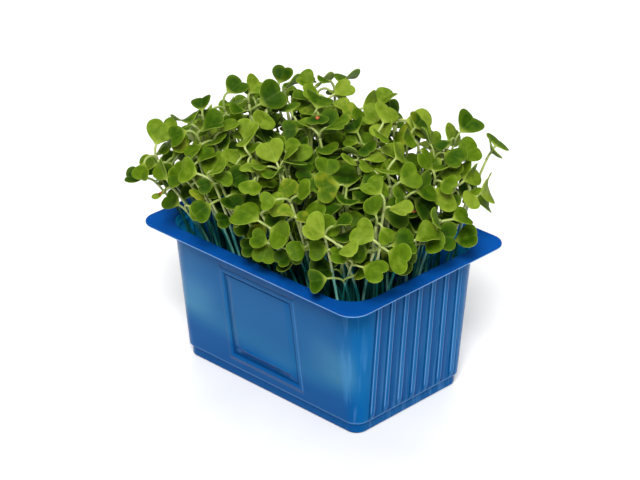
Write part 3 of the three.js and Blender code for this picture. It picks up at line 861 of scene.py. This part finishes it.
class Room:
    """Balls that stand for what is already placed, in a grid of cells."""

    def __init__(self):
        self.cells = {}

    def keep(self, ball):
        key = tuple(math.floor(value / CELL) for value in ball[:3])
        self.cells.setdefault(key, []).append(ball)

    def is_free(self, ball, share=1.0):
        x, y, z, radius = ball
        cell = [math.floor(value / CELL) for value in (x, y, z)]
        for key in itertools.product(*(range(i - 1, i + 2) for i in cell)):
            for other in self.cells.get(key, ()):
                reach = (radius + other[3]) * share
                dx = x - other[0]
                dy = y - other[1]
                dz = z - other[2]
                if dx * dx + dy * dy + dz * dz < reach * reach:
                    return False
        return True


room = Room()


def clears_tray(ball):
    """Whether a ball is above the flange or inside the opening."""
    x, y, z, radius = ball
    if z - radius > TRAY_HEIGHT + GAP:
        return True
    half_x, half_y = wall_half(min(z, TRAY_HEIGHT - FLANGE_BEND), SHEET + radius)
    corner = half_y - END_STRAIGHT + radius
    over_x = abs(x) - (half_x - corner)
    over_y = abs(y) - (half_y - corner)
    if abs(x) > half_x or abs(y) > half_y:
        return False
    return over_x < 0 or over_y < 0 or over_x * over_x + over_y * over_y < corner * corner


def stem_point(seedling, t):
    """A point of a stem's middle line, from its foot at 0 to its tip at 1."""
    foot, tip, sway = seedling["foot"], seedling["tip"], seedling["sway"]
    lean = t ** STEM_BEND
    side = math.sin(math.pi * t)
    return (
        foot[0] + (tip[0] - foot[0]) * lean + sway[0] * side,
        foot[1] + (tip[1] - foot[1]) * lean + sway[1] * side,
        foot[2] + (tip[2] - foot[2]) * t,
    )


def blade_point(leaf, along, across, above):
    """A point of a blade: along its midrib, across it and above it, in blade lengths."""
    length = leaf["length"]
    sideways = add(scaled(leaf["along"], along * length), leaf["across"], across * length)
    return add(leaf["base"], add(sideways, leaf["up"], above * length))


def draw_leaf(tip, normal, outwards, largest):
    rise = between(*PETIOLE_RISE)
    petiole = between(*PETIOLE_LENGTH)
    level = between(*BLADE_LEVEL)
    roll = around(BLADE_ROLL)
    length = between(*BLADE_LENGTH) * largest
    base = add(add(tip, outwards, petiole * math.cos(rise)), normal, petiole * math.sin(rise))
    along = add(scaled(outwards, math.cos(level)), normal, math.sin(level))
    flat_up = add(scaled(normal, math.cos(level)), outwards, -math.sin(level))
    flat_across = cross(along, flat_up)
    across = add(scaled(flat_across, math.cos(roll)), flat_up, math.sin(roll))
    up = add(scaled(flat_up, math.cos(roll)), flat_across, -math.sin(roll))
    return {"base": base, "along": along, "across": across, "up": up, "length": length}


def draw_seedling(centre, slot, drop=0.0):
    """A seedling in a clump's slot. Its edge is how far out its tip is, 1 at the crop's rim."""
    angle = (slot + around(FOOT_TURN)) * math.pi * 2 / SEEDLINGS_PER_CLUMP
    reach = between(*FOOT_REACH)
    foot = (centre[0] + reach * math.cos(angle), centre[1] + reach * math.sin(angle), MEDIUM_TOP)
    in_corner = abs(centre[0] * centre[1]) / (CLUMP_HALF_X * CLUMP_HALF_Y)
    splay = 1 + between(*SPLAY) + CORNER_SPLAY * in_corner
    tip_x = foot[0] * splay + CROWN_SHIFT + around(TIP_STRAY)
    tip_y = foot[1] * splay + CROWN_SHIFT + around(TIP_STRAY)
    out = (tip_x / CROWN_HALF[0], tip_y / CROWN_HALF[1])
    edge = max(out[0] * out[0], out[1] * out[1])
    short = draw.one()
    shortfall = SHORTEST * short * short * (1 - EDGE_SHORTFALL * edge)
    tip_z = CROWN_HEIGHT - CROWN_DROOP * edge * edge - shortfall - drop + around(CROWN_STRAY)
    tip = (tip_x, tip_y, tip_z)
    sway = (around(STEM_SWAY), around(STEM_SWAY))
    lean = between(*LEAN) * edge
    turned = (out[0] * lean + LIGHT_TURN, out[1] * lean - LIGHT_TURN)
    normal = unit((turned[0] + around(LEAN_STRAY), turned[1] + around(LEAN_STRAY), 1))
    turn = between(0, math.pi)
    level = (math.cos(turn), math.sin(turn), 0.0)
    outwards = unit(add(level, normal, -dot(level, normal)))
    first = draw_leaf(tip, normal, outwards, 1)
    second = draw_leaf(tip, normal, scaled(outwards, -1), between(*SECOND_BLADE))
    return {
        "foot": foot,
        "tip": tip,
        "edge": edge,
        "sway": sway,
        "normal": normal,
        "leaves": (first, second),
    }


def line_of_balls(start, end, radius):
    way = add(end, start, -1)
    count = max(1, math.ceil(math.sqrt(dot(way, way)) / BALL_SPACING))
    return [(*add(start, way, step / count), radius) for step in range(count + 1)]


def leaf_balls(leaf):
    balls = []
    for along, spread, count in BLADE_ROWS:
        for spot in range(count):
            across = spread * (2 * spot / (count - 1) - 1) if count > 1 else 0.0
            middle = blade_point(leaf, along, across, BLADE_BALL_RISE)
            balls.append((*middle, leaf["length"] * BLADE_BALL))
    return balls


def stem_balls(seedling):
    stops = [seedling["foot"]] + [stem_point(seedling, t) for t in STEM_STEPS]
    balls = []
    for start, end in zip(stops, stops[1:]):
        balls += line_of_balls(start, end, STEM_BALL)
    for leaf in seedling["leaves"]:
        balls += line_of_balls(seedling["tip"], leaf["base"], PETIOLE_BALL)
    return balls


def place(centre, slot, drop=0.0, tries=TRIES, share=1.0, low_leaf=LOW_LEAF, widest=math.inf):
    """The first seedling of the draw that touches nothing already placed. The leaves are tried
    before the stem, because they are what is usually in the way."""
    lowest, rise, power = low_leaf
    for _ in range(tries):
        seedling = draw_seedling(centre, slot, drop)
        edge = seedling["edge"]
        bottom = min(blade_point(leaf, LEAF_REACH, 0, 0)[2] for leaf in seedling["leaves"])
        if edge > widest or bottom <= lowest + rise * edge ** power:
            continue
        first, second = seedling["leaves"]
        balls = []
        for make, piece in ((leaf_balls, first), (leaf_balls, second), (stem_balls, seedling)):
            more = make(piece)
            if not all(clears_tray(ball) and room.is_free(ball, share) for ball in more):
                break
            balls += more
        else:
            for ball in balls:
                room.keep(ball)
            return seedling
    return None


def place_crop():
    """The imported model's seedlings, clump by clump, then thinner ones wherever they find room."""
    centres = clump_centres()
    clumps = [[] for _ in centres]
    for slot in range(SEEDLINGS_PER_CLUMP):
        for clump, centre in zip(clumps, centres):
            seedling = place(centre, slot)
            if seedling:
                clump.append(seedling)
    for spot in range(EXTRA_SPOTS):
        centre = tuple(around(1) * half for half in EXTRA_HALF)
        drop = between(0, EXTRA_DROP)
        seedling = place(centre, spot % SEEDLINGS_PER_CLUMP, drop, **EXTRA_RULE)
        if seedling:
            seedling["extra"] = True
            foot = seedling["foot"][:2]
            near = min(range(len(centres)), key=lambda i: math.dist(centres[i], foot))
            clumps[near].append(seedling)
    return clumps


# ---- seedlings as meshes

LEAF, STEM = 0, 1
LEAF_SEED = 11
EXTRA_SLIM = 0.86

# A blade's measures are in blade lengths; half of its outline, from the base to the notch
BLADE_COUNT = 32
BLADE_OUTLINE = ((0.0, 0.0), (0.03, 0.07), (0.12, 0.17), (0.25, 0.36), (0.43, 0.52), (0.64, 0.59),
                 (0.84, 0.53), (0.96, 0.36), (0.965, 0.17), (0.915, 0.055), (0.87, 0.0))
# Rings inside the outline: how large, and their share of the thickness
BLADE_RINGS = ((0.97, 0.6), (0.85, 1.0), (0.62, 1.0), (0.34, 1.0))
BLADE_MIDDLE = (0.5, 0.0)
BLADE_HALF_WIDTH = 0.61
BLADE_SWELL = 1.1
BLADE_HALF_THICK = 0.2
DROOP_START = 0.35
RIPPLES = 8
CURVE_STEP = 0.05
CLEFT_WIDTH = 0.16
CLEFT_START = 0.55
CLEFT_LENGTH = 0.3

SIDES = 8
STEM_RINGS = 13
STEM_FOOT_RADIUS = 0.48
STEM_TIP_RADIUS = 0.42
ROOT_DEPTH = 1.4
BUD_HEIGHT = 0.9
BUD_RADII = (0.5, 0.3)
BUD_SIDES = 6
# The stem material's height for petioles and buds, in tray heights
CROWN_LEVEL = 1.5
PETIOLE_RADII = (0.46, 0.43, 0.41, 0.40, 0.40, 0.40, 0.38)
PETIOLE_SINK = 0.5
PETIOLE_START = 0.3
PETIOLE_END = 0.4
NEAR_TIP = 0.985
# The midrib under a blade: along it, radius
MIDRIB = ((0.1, 0.34), (0.22, 0.26), (0.38, 0.18), (0.55, 0.1))
MIDRIB_SINK = 0.02

# Tints run from 0, dark, to 1; leaves deep in the crop are darker
LEAST_TINT = 0.2
PAIR_LIKENESS = 0.6
SHADE_REACH = 26.0
SHADE_TINT = 0.6
SHADE_EDGE = 1.4
PALE_POWER = 1.5


def curve_through(corners, count):
    """Evenly spaced points of a smooth curve through corners, its first and last included."""
    corners = np.asarray(corners, float)
    before = np.concatenate([[corners[1] * (1, -1)], corners, [corners[-2] * (1, -1)]])
    dense = []
    for a, b, c, d in zip(before, before[1:], before[2:], before[3:]):
        for t in np.arange(0, 1, CURVE_STEP):
            bend = (2 * a - 5 * b + 4 * c - d) * t * t + (3 * b - a - 3 * c + d) * t ** 3
            dense.append(0.5 * (2 * b + (c - a) * t + bend))
    dense = np.array([*dense, corners[-1]])
    way = np.concatenate([[0], np.cumsum(np.linalg.norm(np.diff(dense, axis=0), axis=1))])
    at = np.linspace(0, way[-1], count)
    return np.stack([np.interp(at, way, dense[:, 0]), np.interp(at, way, dense[:, 1])], 1)


def bezier(start, first, second, end, count):
    """Points along the curve that four corners give."""
    points = []
    for t in np.linspace(0, 1, count):
        far, near = 1 - t, t
        inner = 3 * far ** 2 * near * first + 3 * far * near * near * second
        points.append(far ** 3 * start + inner + near ** 3 * end)
    return points


def blade_template():
    """Flat places of a blade's mesh: rings that shrink from the outline to the middle. The first
    ring is the blade's edge; the others are there twice, for the upper and the lower face."""
    side = curve_through(BLADE_OUTLINE, BLADE_COUNT // 2 + 1)
    outline = np.concatenate([side, side[-2:0:-1] * (1, -1)])
    middle = np.array(BLADE_MIDDLE)
    places, lifts, rims = [outline], [np.zeros(BLADE_COUNT)], [np.ones(BLADE_COUNT)]
    for face in (1, -1):
        for share, thick in BLADE_RINGS:
            places.append(middle + (outline - middle) * share)
            lifts.append(np.full(BLADE_COUNT, face * thick))
            rims.append(np.full(BLADE_COUNT, share))
        places.append(middle[None])
        lifts.append(np.array([float(face)]))
        rims.append(np.zeros(1))
    faces = []
    rings = len(BLADE_RINGS)
    for lower in (False, True):
        start = BLADE_COUNT + lower * (rings * BLADE_COUNT + 1)
        starts = [0, *(start + ring * BLADE_COUNT for ring in range(rings))]
        half = fan(starts[-1], start + rings * BLADE_COUNT, BLADE_COUNT)
        for outer, inner in zip(starts, starts[1:]):
            half += band(outer, inner, BLADE_COUNT)
        faces += half if lower else turned(half)
    return np.concatenate(places), np.concatenate(lifts), np.concatenate(rims), faces


BLADE_PLACES, BLADE_LIFTS, BLADE_RIMS, BLADE_FACES = blade_template()


def blade_height(place, form):
    """How a blade is cupped, folded along its midrib, bent down at its tip and rippled."""
    along, across = place[:, 0], place[:, 1]
    aside = np.abs(across) / BLADE_HALF_WIDTH
    height = form["cup"] * aside ** form["fold"]
    height = height - form["droop"] * np.clip((along - DROOP_START) / (1 - DROOP_START), 0, 1) ** 2
    height = height + form["twist"] * across * along
    return height + form["ripple"] * np.sin(RIPPLES * along + form["phase"]) * aside ** 2


def leaf_form(chance):
    """One leaf's own shape and tint; whole is how far its notch is filled or cut."""
    return {
        "whole": chance.uniform(-0.02, 0.075),
        "cup": chance.choice((-0.05, 0.06, 0.12, 0.18, 0.25, 0.34)) + chance.uniform(-0.03, 0.04),
        "fold": chance.uniform(1.1, 2.0),
        "droop": chance.uniform(-0.05, 0.28),
        "twist": chance.uniform(-0.2, 0.2),
        "ripple": chance.uniform(0.0, 0.03),
        "phase": chance.uniform(0, 2 * math.pi),
        "broad": chance.uniform(0.92, 1.06),
        "tint": chance.uniform(0, 1),
        "blush": chance.uniform(0, 1),
    }


class Growth:
    """One clump's mesh as it is put together."""

    def __init__(self):
        self.points, self.spots, self.tones = [], [], []
        self.faces, self.kinds = [], []
        self.count = 0

    def put(self, points, faces, kind, spots, tone):
        """spots and tone are what the materials read: a place on the leaf or stem, and tints."""
        self.points.append(points)
        self.spots.append(spots)
        self.tones.append(np.broadcast_to(tone, (len(points), 3)))
        self.faces += shifted(faces, self.count)
        self.kinds += [kind] * len(faces)
        self.count += len(points)

    def put_tube(self, line, radii, sides, tone, level=None):
        """A tube of stem. Its spots are its heights in tray heights, unless level gives one."""
        points, faces = tube(line, radii, sides)
        spots = np.zeros((len(points), 3))
        spots[:, 0] = points[:, 2] / TRAY_HEIGHT if level is None else level
        self.put(points, faces, STEM, spots, tone)


def grow_stem(growth, seedling, slim, tint, pale):
    """A stem from inside the medium up to the bud between its two leaves."""
    shares = np.linspace(0, 1, STEM_RINGS)
    line = [add(seedling["foot"], (0, 0, -ROOT_DEPTH)), *(stem_point(seedling, t) for t in shares)]
    radii = STEM_FOOT_RADIUS + (STEM_TIP_RADIUS - STEM_FOOT_RADIUS) * np.array([0, *shares])
    growth.put_tube(line, radii * slim, SIDES, (tint, pale, 0))
    bud = [seedling["tip"], add(seedling["tip"], seedling["normal"], BUD_HEIGHT)]
    growth.put_tube(bud, BUD_RADII, BUD_SIDES, (tint, 0, 0), CROWN_LEVEL)


def grow_blade(growth, leaf, form):
    length = leaf["length"] * BLADE_SWELL
    axes = np.array([leaf["along"], leaf["across"], leaf["up"]])
    at_cleft = smooth((BLADE_PLACES[:, 0] - CLEFT_START) / CLEFT_LENGTH)
    place = BLADE_PLACES * (1, form["broad"])
    place[:, 0] += form["whole"] * np.exp(-(BLADE_PLACES[:, 1] / CLEFT_WIDTH) ** 2) * at_cleft
    height = blade_height(place, form) + BLADE_LIFTS * BLADE_HALF_THICK / length
    points = np.array(leaf["base"]) + np.column_stack([place, height]) * length @ axes
    tone = np.empty((len(points), 3))
    tone[:] = (form["tint"], 0, form["blush"])
    tone[:, 1] = (BLADE_LIFTS + 1) / 2
    growth.put(points, BLADE_FACES, LEAF, np.column_stack([BLADE_PLACES, BLADE_RIMS]), tone)


def grow_petiole(growth, seedling, leaf, form, slim):
    """The petiole runs from the stem's tip into the midrib under the blade."""
    length = leaf["length"] * BLADE_SWELL
    ahead, up = np.array(leaf["along"]), np.array(leaf["up"])
    tip, base = np.array(seedling["tip"]), np.array(leaf["base"])
    upwards = tip - np.array(stem_point(seedling, NEAR_TIP))
    upwards /= np.linalg.norm(upwards)
    reach = np.linalg.norm(base - tip)
    first = tip + upwards * reach * PETIOLE_START
    second = base - ahead * reach * PETIOLE_END
    line = bezier(tip - upwards * PETIOLE_SINK, first, second, base, len(PETIOLE_RADII))
    for along, radius in MIDRIB:
        middle = blade_height(np.array([[along, 0.0]]), form)[0]
        rise = middle - (radius * slim + MIDRIB_SINK) / length
        line.append(base + (ahead * along + up * rise) * length)
    radii = np.array([*PETIOLE_RADII, *(radius for _, radius in MIDRIB)])
    growth.put_tube(line, radii * slim, SIDES, (form["tint"], 0, 0), CROWN_LEVEL)


def leaf_material():
    nodes = Nodes("seed_leaf")
    along, across, rim = nodes.split(nodes.attribute("leaf_spot", "Vector"))
    tint, side, blush = nodes.split(nodes.attribute("leaf_tone", "Vector"))
    place = nodes.position()
    mottle = nodes.noise(place, 420, 3)
    mood = nodes.maths("ADD", tint, nodes.swing(mottle, 0.7))
    upper = nodes.ramp(
        mood,
        (0.00, srgb(10, 40, 1)),
        (0.35, srgb(38, 70, 1)),
        (0.70, srgb(78, 105, 10)),
        (1.00, srgb(118, 138, 40)),
    )
    lower = nodes.ramp(
        mood,
        (0.0, srgb(56, 92, 18)),
        (0.4, srgb(90, 118, 42)),
        (1.0, srgb(136, 156, 82)),
    )
    # Veins: a midrib, and branches that slant away from it
    aside = nodes.maths("ABSOLUTE", across)
    midrib = nodes.fit(aside, 0.045, 0.0)
    branch = nodes.maths("SUBTRACT", along, nodes.times(aside, 0.75))
    wave = nodes.maths("ABSOLUTE", nodes.maths("SINE", nodes.times(branch, 15.0)))
    branches = nodes.times(nodes.fit(wave, 0.16, 0.0), nodes.fit(aside, 0.5, 0.1))
    veins = nodes.maths("MAXIMUM", midrib, nodes.times(branches, 0.5))
    upper = nodes.mix(nodes.times(veins, 0.07), upper, srgb(150, 172, 66))
    lower = nodes.mix(nodes.times(veins, 0.3), lower, srgb(160, 180, 100))
    # The upper face is paler at its base and towards its rim
    upper = nodes.mix(nodes.times(nodes.fit(along, 0.3, 0.0), 0.7), upper, srgb(156, 172, 72))
    upper = nodes.mix(nodes.fit(rim, 0.5, 0.97, 0.0, 0.15), upper, srgb(128, 156, 30))
    colour = nodes.mix(nodes.fit(side, 0.35, 0.5), lower, upper)
    colour = nodes.mix(nodes.fit(rim, 0.955, 1.0, 0.0, 0.5), colour, srgb(164, 182, 74))
    # A few leaves have begun to yellow
    worn = nodes.times(nodes.fit(blush, 0.9, 1.0, 0, 0.22), nodes.fit(mottle, 0.45, 0.62))
    colour = nodes.mix(worn, colour, srgb(170, 150, 40))
    nodes.paint(colour, nodes.noise(place, 900, 2), 0.5, 0.62)
    grain = nodes.times(nodes.noise(place, 1500, 2), 0.25)
    nodes.bump(nodes.maths("SUBTRACT", grain, veins), 0.2, 0.15)
    nodes.set(IOR=1.21, Specular_Tint=(0.9, 1.0, 0.55, 1))
    nodes.set(Subsurface_Weight=0.12, Subsurface_Scale=1.2 * MM, Subsurface_Radius=(0.6, 1.0, 0.2))
    return nodes.material


def stem_material():
    """Stems are blue-green in the tray's light, pale above it and green at the leaves."""
    nodes = Nodes("seedling_stem")
    height = nodes.split(nodes.attribute("leaf_spot", "Vector"))[0]
    tint, pale, _ = nodes.split(nodes.attribute("leaf_tone", "Vector"))
    streak = nodes.noise(nodes.stretch(nodes.position(), (1, 1, 0.12)), 1500, 2)
    low = nodes.ramp(
        nodes.maths("ADD", pale, nodes.swing(streak, 0.6)),
        (0.0, srgb(16, 88, 84)),
        (0.55, srgb(40, 144, 134)),
        (1.0, srgb(136, 202, 184)),
    )
    middle = nodes.ramp(streak, (0.3, srgb(128, 144, 76)), (0.7, srgb(182, 188, 132)))
    high = nodes.ramp(tint, (0.0, srgb(112, 136, 50)), (1.0, srgb(172, 184, 112)))
    colour = nodes.mix(nodes.fit(height, 1.06, 1.28), low, middle)
    colour = nodes.mix(nodes.fit(height, 1.25, 1.5), colour, high)
    nodes.paint(colour, streak, 0.3, 0.5)
    nodes.bump(streak, 0.2, 0.2)
    nodes.set(IOR=1.4)
    nodes.set(Subsurface_Weight=0.15, Subsurface_Scale=1.0 * MM, Subsurface_Radius=(0.8, 1.0, 0.4))
    return nodes.material


def leaf_forms(seedling, chance):
    """Forms of a seedling's leaves: alike in tint, and darker deep in the crop."""
    forms = [leaf_form(chance) for _ in seedling["leaves"]]
    own = (1 - PAIR_LIKENESS) * forms[1]["tint"]
    forms[1]["tint"] = PAIR_LIKENESS * forms[0]["tint"] + own
    edge = seedling["edge"]
    depth = CROWN_HEIGHT - CROWN_DROOP * edge ** 2 - seedling["tip"][2]
    shaded = float(smooth(depth / SHADE_REACH) * smooth(SHADE_EDGE * (1 - edge)))
    for form in forms:
        form["tint"] = form["tint"] * (1 - LEAST_TINT) + LEAST_TINT - SHADE_TINT * shaded
    return forms


def build_seedlings(clumps, leaf, stem):
    chance = np.random.default_rng(LEAF_SEED)
    for index, clump in enumerate(clumps):
        growth = Growth()
        for seedling in clump:
            slim = EXTRA_SLIM if seedling.get("extra") else 1.0
            forms = leaf_forms(seedling, chance)
            grow_stem(growth, seedling, slim, forms[0]["tint"], chance.uniform(0, 1) ** PALE_POWER)
            for part, form in zip(seedling["leaves"], forms):
                grow_blade(growth, part, form)
                grow_petiole(growth, seedling, part, form, slim)
        obj = mesh_object(
            f"clump_{index + 1:02d}",
            np.concatenate(growth.points),
            growth.faces,
            [leaf, stem],
            growth.kinds,
            {"leaf_spot": np.concatenate(growth.spots), "leaf_tone": np.concatenate(growth.tones)},
        )
        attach(obj, "root")
        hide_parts(f"seedlings_{index + 1:02d}")


# ---- seed husks

HUSK_COUNT = 7
HUSK_SEED = 5
HUSK_LENGTH = 1.9
HUSK_VARIETY = (0.85, 1.1)
HUSK_SIDES = 12
HUSK_STEPS = 5
# Over a husk's length: half its width, and its depth. Then the sizes of its outer and inner skin
HUSK_WIDTH = 0.36
HUSK_DEPTH = 0.34
HUSK_SKINS = (1.0, 0.86)
HUSK_SINK = 0.02
# Husks lie on leaves that face up at least so much; their place along and above a blade, in its
# lengths
HUSK_LEVEL = 0.75
HUSK_PLACE = 0.5
HUSK_RISE = 0.02


def husk_material():
    nodes = Nodes("seed_husk")
    grain = nodes.noise(nodes.position(), 1400, 3)
    colour = nodes.ramp(
        grain,
        (0.3, srgb(92, 44, 20)),
        (0.55, srgb(158, 84, 36)),
        (0.75, srgb(206, 132, 66)),
    )
    nodes.paint(colour, grain, 0.45, 0.65)
    nodes.bump(grain, 0.5, 0.3)
    return nodes.material


def husk(middle, axes, length):
    """Half of a split seed coat: a shell with a rim, open upwards."""
    points = []
    for skin in HUSK_SKINS:
        for level in range(HUSK_STEPS + 1):
            polar = math.pi / 2 * level / HUSK_STEPS
            for side in range(HUSK_SIDES):
                turn = side / HUSK_SIDES * 2 * math.pi
                x = math.cos(turn) * math.cos(polar) * length / 2 * skin
                y = math.sin(turn) * math.cos(polar) * length * HUSK_WIDTH * skin
                z = length * HUSK_DEPTH * (1 - math.sin(polar) * skin) - HUSK_SINK
                points.append(middle + (x, y, z) @ axes)
    per_skin = (HUSK_STEPS + 1) * HUSK_SIDES
    faces = band(0, per_skin, HUSK_SIDES)
    for start in range(0, per_skin - HUSK_SIDES, HUSK_SIDES):
        faces += turned(band(start, start + HUSK_SIDES, HUSK_SIDES))
        faces += band(per_skin + start, per_skin + start + HUSK_SIDES, HUSK_SIDES)
    return np.array(points), faces


def build_husks(clumps, material):
    """Seed coats that have stayed on some of the upper leaves."""
    chance = np.random.default_rng(HUSK_SEED)
    own = [seedling for clump in clumps for seedling in clump if not seedling.get("extra")]
    leaves = [leaf for seedling in own for leaf in seedling["leaves"] if leaf["up"][2] > HUSK_LEVEL]
    blocks, faces, count = [], [], 0
    for index in chance.choice(len(leaves), HUSK_COUNT, replace=False):
        leaf = leaves[index]
        turn = chance.uniform(0, 2 * math.pi)
        ahead, aside, up = (np.array(leaf[axis]) for axis in ("along", "across", "up"))
        along = ahead * math.cos(turn) + aside * math.sin(turn)
        length = leaf["length"] * BLADE_SWELL
        spot = np.array(leaf["base"]) + (ahead * HUSK_PLACE + up * HUSK_RISE) * length
        axes = np.array([along, np.cross(up, along), up])
        points, sides = husk(spot, axes, HUSK_LENGTH * chance.uniform(*HUSK_VARIETY))
        blocks.append(points)
        faces += shifted(sides, count)
        count += len(points)
    obj = mesh_object("seed_husks", np.concatenate(blocks), faces, [material])
    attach(obj, "root")


# ---- room, light and camera

TARGET = Vector((4.22, -5.36, 51.0)) * MM
AZIMUTH = math.radians(44.225)
ELEVATION = math.radians(27.085)
DISTANCE = 840.8 * MM
LENS = 146.25
SENSOR = 36
NEAREST = 10 * MM
# In metres
FLOOR_HALF = 4.0

# A sun: its name, where it shines from, strength, size in degrees, colour, whether gloss mirrors it
SUNS = (
    ("key", (0.7, -0.85, 1.2), 4.0, 24, (1.0, 0.985, 0.965), True),
    ("top", (-0.4, 0.1, 1.5), 0.75, 45, (1, 1, 1), True),
    ("back", (-0.7, 0.9, 0.9), 0.95, 50, (1, 1, 1), False),
    ("fill", (1.0, 0.2, 0.6), 0.35, 60, (0.97, 0.985, 1.0), True),
)
# The sky's colours by height: 0 is level and 1 is overhead
SKY = ((0.45, (0.04, 0.042, 0.045, 1)), (1.0, (0.16, 0.168, 0.175, 1)))


def link(name, data):
    obj = bpy.data.objects.new(name, data)
    bpy.context.scene.collection.objects.link(obj)
    return obj


def build_floor():
    nodes = Nodes("pale_floor")
    grain = nodes.noise(nodes.position(), 30, 3)
    colour = nodes.ramp(grain, (0.3, (0.86, 0.865, 0.87, 1)), (0.7, (0.89, 0.89, 0.89, 1)))
    nodes.paint(colour, grain, 0.6, 0.7)
    corners = [(x * FLOOR_HALF, y * FLOOR_HALF, 0) for x, y in ((-1, -1), (1, -1), (1, 1), (-1, 1))]
    mesh = bpy.data.meshes.new("floor")
    mesh.from_pydata(corners, [], [(0, 1, 2, 3)])
    mesh.materials.append(nodes.material)
    floor = link("floor", mesh)


def build_light():
    """Soft suns for a studio's big lamps, and a sky that is brightest overhead."""
    for name, towards, strength, degrees, colour, mirrored in SUNS:
        light = bpy.data.lights.new(name, "SUN")
        light.energy = strength
        light.angle = math.radians(degrees)
        light.color = colour
        obj = link(name, light)
        obj.location = Vector(towards)
        obj.rotation_euler = Vector(towards).to_track_quat("Z", "Y").to_euler()
        obj.visible_glossy = mirrored
    world = bpy.data.worlds.new("studio")
    world.use_nodes = True
    tree = world.node_tree
    background = tree.nodes["Background"]
    place = tree.nodes.new("ShaderNodeTexCoord")
    split = tree.nodes.new("ShaderNodeSeparateXYZ")
    ramp = tree.nodes.new("ShaderNodeValToRGB")
    for element, (height, colour) in zip(ramp.color_ramp.elements, SKY):
        element.position = height
        element.color = colour
    tree.links.new(place.outputs["Generated"], split.inputs[0])
    tree.links.new(split.outputs["Z"], ramp.inputs[0])
    tree.links.new(ramp.outputs[0], background.inputs["Color"])
    background.inputs["Strength"].default_value = 1.0
    bpy.context.scene.world = world
    bpy.context.scene.view_settings.view_transform = "Standard"


def build_camera():
    data = bpy.data.cameras.new("camera")
    data.lens = LENS
    data.sensor_width = SENSOR
    data.clip_start = NEAREST
    level = math.cos(ELEVATION)
    back = Vector((math.sin(AZIMUTH) * level, -math.cos(AZIMUTH) * level, math.sin(ELEVATION)))
    camera = link("camera", data)
    camera.location = TARGET + back * DISTANCE
    camera.rotation_euler = (-back).to_track_quat("-Z", "Y").to_euler()
    bpy.context.scene.camera = camera


# ---- the scene

build_tray(tray_material())
build_medium(medium_material())
crop = place_crop()
build_seedlings(crop, leaf_material(), stem_material())
build_husks(crop, husk_material())
build_floor()
build_light()
build_camera()
